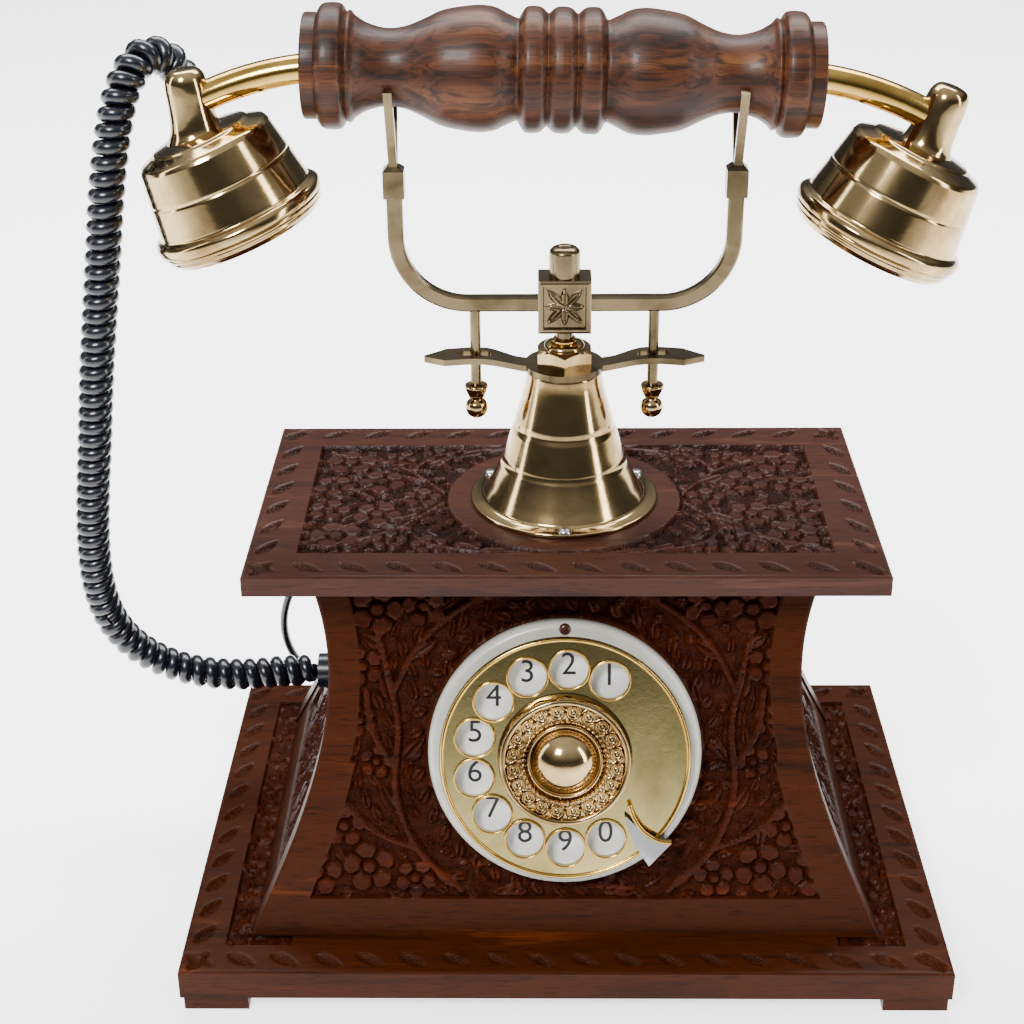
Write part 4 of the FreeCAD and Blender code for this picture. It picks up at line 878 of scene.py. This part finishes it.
def flat_board(name, node, rows, columns, draw, slot_name):
    """A level board with a carved top. draw fills the carving from its half-sizes."""
    low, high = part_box(node)
    half_u, half_v = high.x / MM, high.y / MM
    u = np.broadcast_to(np.linspace(-half_u, half_u, columns)[None, :], (rows, columns))
    v = np.broadcast_to(np.linspace(-half_v, half_v, rows)[:, None], (rows, columns))
    edge = np.minimum(half_u - np.abs(u), half_v - np.abs(v))
    carving = draw(u, v, half_u, half_v)
    height = carved_height(carving, edge)
    face = np.stack([u, v, high.z / MM + height], axis=-1)
    backs = [np.stack([np.full(rows, s * half_u), v[:, 0], np.full(rows, low.z / MM)], 1) for s in (-1, 1)]
    dress(board(name, face, *backs, carving), slot_name, "housing", node)


def draw_top_board(u, v, half_u, half_v):
    border = 16.0
    inside = np.minimum(half_u - np.abs(u), half_v - np.abs(v)) - border
    circle = np.hypot(u, v) - BELL_SEAT_R_MM
    carving = new_carving(u, v, field_inside(np.minimum(inside, circle)), TOP_DEPTH_MM)
    for sx in (-1, 1):
        for sy in (-1, 1):
            stem(carving, [(sx * 40, sy * 4), (sx * 52, sy * 20), (sx * 66, sy * 30), (sx * 80, sy * 34)])
            stem(carving, [(sx * 52, sy * 20), (sx * 44, sy * 32), (sx * 30, sy * 37), (sx * 12, sy * 38.6)])
            for x, y, r in ((73, 27, 9.4), (61, 12, 8.8), (43, 33, 6.6), (77, 9, 7.6), (56, 30, 6.4)):
                flower(carving, sx * x, sy * y, r, x * 0.17 + sy * 0.5)
            for x, y, length, heading in ((46, 11, 12, 0.5), (50, 18, 12, 1.3), (60, 25, 11, 0.9), (36, 32, 11, 2.6),
                                          (28, 37, 12, 3.0), (20, 38, 11, 0.1), (66, 18, 9, 0.5), (46, 24, 9, 2.3),
                                          (12, 38, 9, 3.1)):
                turned = math.atan2(sy * math.sin(heading), sx * math.cos(heading))
                leaf(carving, sx * x, sy * y, length, 5.0, turned, 0.12 * sx * sy)
        flower(carving, sx * 47, 0, 7.2, 0.2)
    fill_gaps(carving, 21, 5.6, lambda x, y: math.atan2(y, x))
    border_gouges(carving, half_u, half_v, 6.0, 4.6)
    return carving


def draw_base_board(u, v, half_u, half_v):
    plain = np.maximum(np.abs(u) - 105.5, np.abs(v) - 71.5)
    inside = np.minimum(half_u - np.abs(u), half_v - np.abs(v)) - 14.0
    side_field = field_inside(np.minimum(inside, np.abs(u) - 90.0))
    field = side_field * soft_step((74.0 - np.abs(v)) / FIELD_WALL_MM)
    carving = new_carving(u, v, field, BASE_DEPTH_MM)
    for sx in (-1, 1):
        for k in range(-4, 5):
            y = 15.6 * k
            flower(carving, sx * 100.5, y, 6.8, 0.4 * k)
            leaf(carving, sx * 108, y + 4, 7.0, 3.4, math.pi / 2 * sx + 0.5)
            leaf(carving, sx * 108, y - 4, 7.0, 3.4, -math.pi / 2 * sx - 0.5)
    fill_gaps(carving, 33, 5.4, lambda x, y: math.pi / 2)
    border_gouges(carving, half_u, half_v, 6.2, 4.8)
    carving["gouge"] = carving["gouge"] * (plain > 0)
    return carving


# ---- dial ----------------------------------------------------------------------------------
def dial_place():
    """Takes millimetres over the dial's own face to the row frame: x right, y up the panel, z outwards."""
    y = -(PANEL_BOTTOM_Y_MM - DIAL_UP_PANEL_MM * math.sin(LEAN))
    z = CASE_BOTTOM_MM + DIAL_UP_PANEL_MM * math.cos(LEAN)
    return Matrix.Translation((0, y, z)) @ Matrix.Rotation(math.pi / 2 - LEAN, 4, "X")


HOLE_CIRCLE_MM = 29.6
FIRST_HOLE = math.radians(61.5)
HOLE_STEP = math.radians(26.1)
WHEEL_TOP_MM = 9.8
PLATE_TOP_MM = 4.86
DIGITS = "I234567890"
DIGIT_SIZE_MM = 10.4
DIGIT_DROP_MM = 2.9
STOP_ANGLE = math.radians(-43)


def make_digits():
    """Thin black figures. The figure 1 is a bare stroke."""
    pieces = []
    for k, digit in enumerate(DIGITS):
        text = bpy.data.curves.new("figure", "FONT")
        text.body = digit
        text.size = DIGIT_SIZE_MM
        text.align_x = "CENTER"
        text.extrude = 0.03
        piece = linked("figure", plain_mesh(linked("figure", text)))
        a = FIRST_HOLE + HOLE_STEP * k
        x, y = HOLE_CIRCLE_MM * math.cos(a), HOLE_CIRCLE_MM * math.sin(a)
        put(piece, dial_place() @ Matrix.Translation((x, y - DIGIT_DROP_MM, PLATE_TOP_MM)))
        pieces.append(piece)
    dress(join("dial_figures", pieces), "number_plate", "housing", material=FIGURE_ENAMEL)


def rim_nodes(sizes, material):
    """Geometry nodes for the rims of the finger wheel: a ring of round wire in each finger hole, and one around
    the edge. Every size is a named input."""
    tree = bpy.data.node_groups.new("finger_wheel_rims", "GeometryNodeTree")
    tree.interface.new_socket("Rims", in_out="OUTPUT", socket_type="NodeSocketGeometry")
    for name, value in sizes.items():
        kind = "NodeSocketInt" if isinstance(value, int) else "NodeSocketFloat"
        tree.interface.new_socket(name, in_out="INPUT", socket_type=kind)
    size = add(tree, "NodeGroupInput").outputs
    rings = []
    for name, corners in (("Hole Rim", 48), ("Edge Rim", 144)):
        path, wire = (add(tree, "GeometryNodeCurvePrimitiveCircle", {"Resolution": count, "Radius": size[radius]})
                      for count, radius in ((corners, name + " Radius"), (12, name + " Wire")))
        rings.append(add(tree, "GeometryNodeCurveToMesh", {"Curve": path, "Profile Curve": wire}))
    angle = add(tree, "ShaderNodeMath", {0: add(tree, "GeometryNodeInputIndex"), 1: size["Hole Step"],
                                         2: size["First Hole"]}, operation="MULTIPLY_ADD")
    along = [add(tree, "ShaderNodeMath", {0: add(tree, "ShaderNodeMath", {0: angle}, operation=way),
                                          1: size["Hole Circle"]}, operation="MULTIPLY")
             for way in ("COSINE", "SINE")]
    centre = add(tree, "ShaderNodeCombineXYZ", {0: along[0], 1: along[1], 2: size["Hole Rim Rise"]})
    centres = add(tree, "GeometryNodePoints", {"Count": size["Holes"], "Position": centre})
    hole_rims = add(tree, "GeometryNodeInstanceOnPoints", {"Points": centres, "Instance": rings[0]})
    both = add(tree, "GeometryNodeJoinGeometry", {"Geometry": hole_rims})
    tree.links.new(rings[1].outputs[0], both.inputs[0])
    real = add(tree, "GeometryNodeRealizeInstances", {"Geometry": both})
    dressed = add(tree, "GeometryNodeSetMaterial", {"Geometry": real, "Material": material})
    add(tree, "NodeGroupOutput", {0: dressed})
    return tree


def make_wheel_rims():
    sizes = {"Holes": len(DIGITS), "First Hole": FIRST_HOLE, "Hole Step": HOLE_STEP, "Hole Circle": HOLE_CIRCLE_MM,
             "Hole Rim Rise": 0.55, "Hole Rim Radius": 6.35, "Hole Rim Wire": 0.42,
             "Edge Rim Radius": 39.3, "Edge Rim Wire": 0.75}
    tree = rim_nodes(sizes, MATERIALS["bright_brass"])
    source = linked("wheel_rims", bpy.data.meshes.new("wheel_rims"))
    modifier = source.modifiers.new("rims", "NODES")
    modifier.node_group = tree
    for socket in tree.interface.items_tree:
        if socket.in_out == "INPUT":
            modifier[socket.identifier] = sizes[socket.name]
    mesh = plain_mesh(source)
    mesh.shade_smooth()
    rims = linked("wheel_rims", mesh)
    put(rims, dial_place() @ Matrix.Translation((0, 0, WHEEL_TOP_MM)))
    dress(rims, "bright_brass", "finger_wheel")


def make_stop_edge():
    """The rolled brass edge along the upper side of the finger stop."""
    turn = Matrix.Rotation(STOP_ANGLE, 4, "Z")
    line = curved([(24.8, 3.4, 12.0), (28.5, 1.4, 12.1), (34.0, 0.1, 12.2), (39.5, 1.0, 12.2), (43.2, 3.3, 12.0)])
    points = [dial_place() @ turn @ Vector(p) * MM for p in line]
    dress(tube_mesh("rolled_stop_edge", points, 0.8 * MM), "bright_brass", "housing")


def make_dial_ring():
    profile = rounded([(37.6, 3.8), (37.6, 5.0), (42.2, 5.0), (43.4, 4.2), (44.0, 3.0), (44.0, 0.0), (35.0, 0.0),
                       (35.0, -13.0), (33.2, -13.0), (33.2, 1.8), (6.0, 1.8), (6.0, 3.8)], 0.5)
    profile.append(profile[0])
    dress(lathe("dial_ring_moulding", profile, dial_place(), 160), "white_plastic", "housing", "dial_ring")


def make_rosette():
    """Pressed brass hub: a bright outer ring, a band of scallops round small circles, beads and a dome."""
    rings, around = 120, 440
    r = np.linspace(0, 21.6, rings)[:, None]
    phi = np.linspace(0, 2 * math.pi, around, endpoint=False)[None, :]
    dome = 8.6 * np.clip(1 - (r / 11.2) ** 2.2, 0, 1) ** 0.7
    step = 1.4 * np.exp(-((r - 11.6) / 0.8) ** 4)
    outer = 4.4 * np.exp(-((r - 19.9) / 1.55) ** 4)
    band_floor = 2.9 * soft_step((r - 12.2) / 1.0) * soft_step((20.6 - r) / 1.2)
    beads = 48
    bead_off = ((phi * beads / (2 * math.pi)) % 1 - 0.5) * (2 * math.pi / beads) * r
    bead = 1.0 * np.sqrt(np.clip(1 - (bead_off / 0.75) ** 2 - ((r - 13.3) / 0.75) ** 2, 0, 1))
    scallops = 20
    off = ((phi * scallops / (2 * math.pi)) % 1 - 0.5) * (2 * math.pi / scallops) * r
    circle = np.hypot(off, r - 16.6)
    lobes = 0.9 * np.exp(-((circle - 1.9) / 0.45) ** 2) * (r > 14.4) + 0.8 * np.exp(-(circle / 0.6) ** 2)
    z = np.maximum(dome, np.maximum(step + 1.2 * (r < 13), band_floor)) + bead + lobes * (r < 18.6)
    z = np.maximum(z, outer)
    z = np.where(r >= 21.5, 0.0, z) + WHEEL_TOP_MM
    x, y = r * np.cos(phi), r * np.sin(phi)
    vertices = np.stack([x, y, z], axis=-1).reshape(-1, 3)
    faces = []
    for k in range(1, rings - 1):
        for j in range(around):
            n = (j + 1) % around
            faces.append((k * around + j, k * around + around + j, k * around + around + n, k * around + n))
    faces.append([around + j for j in range(around)])
    rosette = new_mesh("pressed_hub", vertices, faces)
    rosette.data.transform(dial_place())
    put(rosette)
    dress(rosette, "antique_brass", "finger_wheel", "hub_rosette")


# ---- column and cradle ---------------------------------------------------------------------
def make_column():
    foot_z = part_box("column_bell")[0].z / MM
    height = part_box("column_bell")[1].z / MM - foot_z
    wall = curved([(26.4, 2.0), (24.0, 6.5), (20.6, 14.0), (17.6, 23.0), (14.9, 32.0), (12.6, 41.0),
                   (11.9, height - 0.6)], 10)
    for line_z in (15.0, 26.5, 27.6):
        for p in wall:
            if abs(p[1] - line_z) < 0.45:
                p[0] -= 0.25
    profile = rounded([(29.0, 0.0), (30.8, 0.0), (30.8, 1.4), (27.4, 1.4)], 0.5) + wall
    profile += [np.array((11.3, height)), np.array((4.8, height)), np.array((4.8, height - 3)),
                np.array((9.0, height - 3)), np.array((15.2, 23.0)), np.array((24.0, 1.4)), np.array((24.0, 0.0)),
                np.array((29.0, 0.0))]
    place = Matrix.Translation((0, 0, foot_z))
    dress(lathe("turned_bell", profile, place, 160), "antique_brass", "housing", "column_bell")


def make_block():
    low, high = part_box("cradle_block")
    half_w, half_h, half_d = high.x / MM, (high.z - low.z) / MM / 2, high.y / MM
    middle_z = (high.z + low.z) / MM / 2
    size = 96
    u = np.broadcast_to(np.linspace(-half_w, half_w, size)[None, :], (size, size))
    v = np.broadcast_to(np.linspace(-half_h, half_h, size)[:, None], (size, size))
    edge = np.minimum(half_w - np.abs(u), half_h - np.abs(v))
    field = soft_step((np.minimum(half_w - np.abs(u), half_h - np.abs(v)) - 1.6) / 0.4)
    halves = []
    for sign in (-1, 1):
        carving = new_carving(u, v, field, 1.0)
        for k in range(8):
            leaf(carving, 0, 0, 8.2 if k % 2 else 6.4, 2.9, math.pi / 4 * k)
        height = carved_height(carving, edge)
        face = np.stack([u, -half_d - height, middle_z + v], axis=-1)
        backs = [np.stack([np.full(size, s * half_w), np.zeros(size), middle_z + v[:, 0]], 1) for s in (-1, 1)]
        if sign > 0:
            face = face * (-1, -1, 1)
            backs = [b * (-1, -1, 1) for b in backs]
        halves.append(board("block_half", face, *backs, carving))
    dress(join("engraved_block", halves), "pale_brass", "cradle", "cradle_block")


def make_finial():
    low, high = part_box("cradle_finial")
    tall = (high.z - low.z) / MM
    profile = [(0.0, 0.0)] + rounded([(4.85, 0.0), (4.85, tall - 1.5), (3.9, tall - 0.5), (2.6, tall),
                                      (2.2, tall - 0.6), (0.0, tall - 0.6)], 0.4)
    place = Matrix.Translation((0, 0, low.z / MM))
    dress(lathe("turned_finial", profile, place, 64), "pale_brass", "cradle", "cradle_finial")


def make_knobs():
    low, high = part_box("guide_knobs")
    tall = (high.z - low.z) / MM
    ball = curved([(2.3, tall - 4.6), (2.0, tall - 5.0), (3.2, tall - 6.2), (3.6, tall - 8.0), (2.9, tall - 10.2),
                   (1.2, tall - 11.4), (0.0, tall - 11.6)], 5)
    knobs = []
    for x in (-28.3, 28.3):
        profile = rounded([(1.7, tall - 0.4), (3.5, tall), (3.8, tall - 0.6), (3.4, tall - 2.0)], 0.3) + ball
        knobs.append(lathe("knob", profile, Matrix.Translation((x, 0, low.z / MM)), 48))
    dress(join("turned_knobs", knobs), "antique_brass", "cradle", "guide_knobs")


# ---- handset -------------------------------------------------------------------------------
def handset_place():
    return Matrix.Translation(HANDSET_CENTRE_MM) @ Matrix.Rotation(HANDSET_TILT, 4, "Y")


def cup_place(side):
    return (handset_place() @ Matrix.Translation((side * CUP_AT_MM, 0, -CUP_DROP_MM))
            @ Matrix.Rotation(side * CUP_LEAN, 4, "Y"))


def make_grip():
    half = curved([(18.5, 0.0), (18.1, 2.3), (16.5, 4.2)], 6) + curved(
        [(16.5, 4.5), (18.1, 6.4), (18.5, 8.8), (18.0, 11.2), (15.0, 13.1)], 6) + curved(
        [(14.9, 13.6), (16.1, 16.2), (17.9, 20.0), (18.5, 24.0), (18.2, 28.5), (16.9, 35.6), (14.4, 41.0),
         (12.1, 46.6), (11.4, 52.3), (12.8, 58.0), (14.9, 61.6)], 5) + curved(
        [(15.4, 62.0), (16.4, 63.0), (15.9, 64.0)], 4) + curved(
        [(16.2, 64.3), (18.1, 65.6), (18.5, 68.4), (18.0, 71.2), (16.2, 72.6)], 6) + rounded(
        [(15.6, 72.8), (15.6, 76.9), (4.6, 76.9)], 0.7)
    profile = [(r, -z) for r, z in half[::-1]] + half[1:]
    place = handset_place() @ Matrix.Rotation(math.pi / 2, 4, "Y")
    dress(lathe("turned_grip", profile, place, 128), "grip_wood", "handset", "handle_grip")


def make_cups():
    outside = rounded([(24.3, 4.2), (24.3, 0.0), (27.0, 0.0), (27.5, 1.0), (27.5, 3.0), (26.6, 4.0), (25.0, 4.6),
                       (24.9, 5.6)], 0.6)
    wall = [(24.9 - 3.5 * t, 5.6 + 19.4 * t) for t in np.linspace(0, 1, 60)]
    wall = [(r - 0.28 * math.exp(-((z - 15.0) / 0.35) ** 2), z) for r, z in wall]
    top = rounded([(21.4, 25.0), (20.6, 26.6), (16.0, 28.2), (15.4, 29.0), (9.0, 29.8), (4.0, 29.8)], 0.8)
    inside = [(4.0, 27.0), (15.0, 26.8), (19.4, 23.0), (22.9, 4.2), (24.3, 4.2)]
    profile = outside + wall + top + [np.array(p, float) for p in inside]
    rim = rounded([(22.5, 1.0), (26.6, 0.0), (26.6, -1.0), (26.0, -1.6), (26.0, -2.6), (25.0, -3.4), (24.3, -4.4),
                   (19.1, -4.4), (19.1, -3.0), (22.5, 1.0)], 0.4)
    rims = []
    for side, name in ((-1, "left"), (1, "right")):
        dress(lathe(name + "_turned_cup", profile, cup_place(side), 128), "antique_brass", "handset",
              name + "_cup")
        rims.append(lathe("rim", rim, cup_place(side), 128))
    dress(join("stepped_rims", rims), "antique_brass", "handset", "cup_rims")


def make_horns():
    profile = rounded([(0.0, -2.0), (9.6, -2.0)], 0.1) + curved(
        [(9.4, -1.0), (8.6, 0.8), (7.6, 3.0), (7.0, 6.4), (6.7, 10.5), (6.5, 15.0), (6.0, 18.2), (4.6, 20.3),
         (2.4, 20.95), (0.0, 21.0)], 6)
    horns = []
    for side, lean_deg in ((-1, 9.0), (1, 19.0)):
        place = (handset_place() @ Matrix.Translation((side * 110.0, 0, -22.2))
                 @ Matrix.Rotation(side * math.radians(lean_deg), 4, "Y"))
        horns.append(lathe("horn", profile, place, 72))
    dress(join("round_topped_horns", horns), "antique_brass", "handset", "cup_horns")


paint_cad_nodes()
make_camera()
make_studio()
make_curly_cord()
make_line_cord()
make_front_panel("carved_front", "front_panel", -1)
make_front_panel("carved_rear", "rear_panel", 1)
make_side_panel("carved_left_side", "left_panel", -1)
make_side_panel("carved_right_side", "right_panel", 1)
flat_board("carved_top", "top_board", 222, 400, draw_top_board, "top_wood")
flat_board("carved_base", "base_board", 246, 354, draw_base_board, "case_wood")
make_digits()
make_wheel_rims()
make_dial_ring()
make_stop_edge()
make_rosette()
make_column()
make_block()
make_finial()
make_knobs()
make_grip()
make_cups()
make_horns()
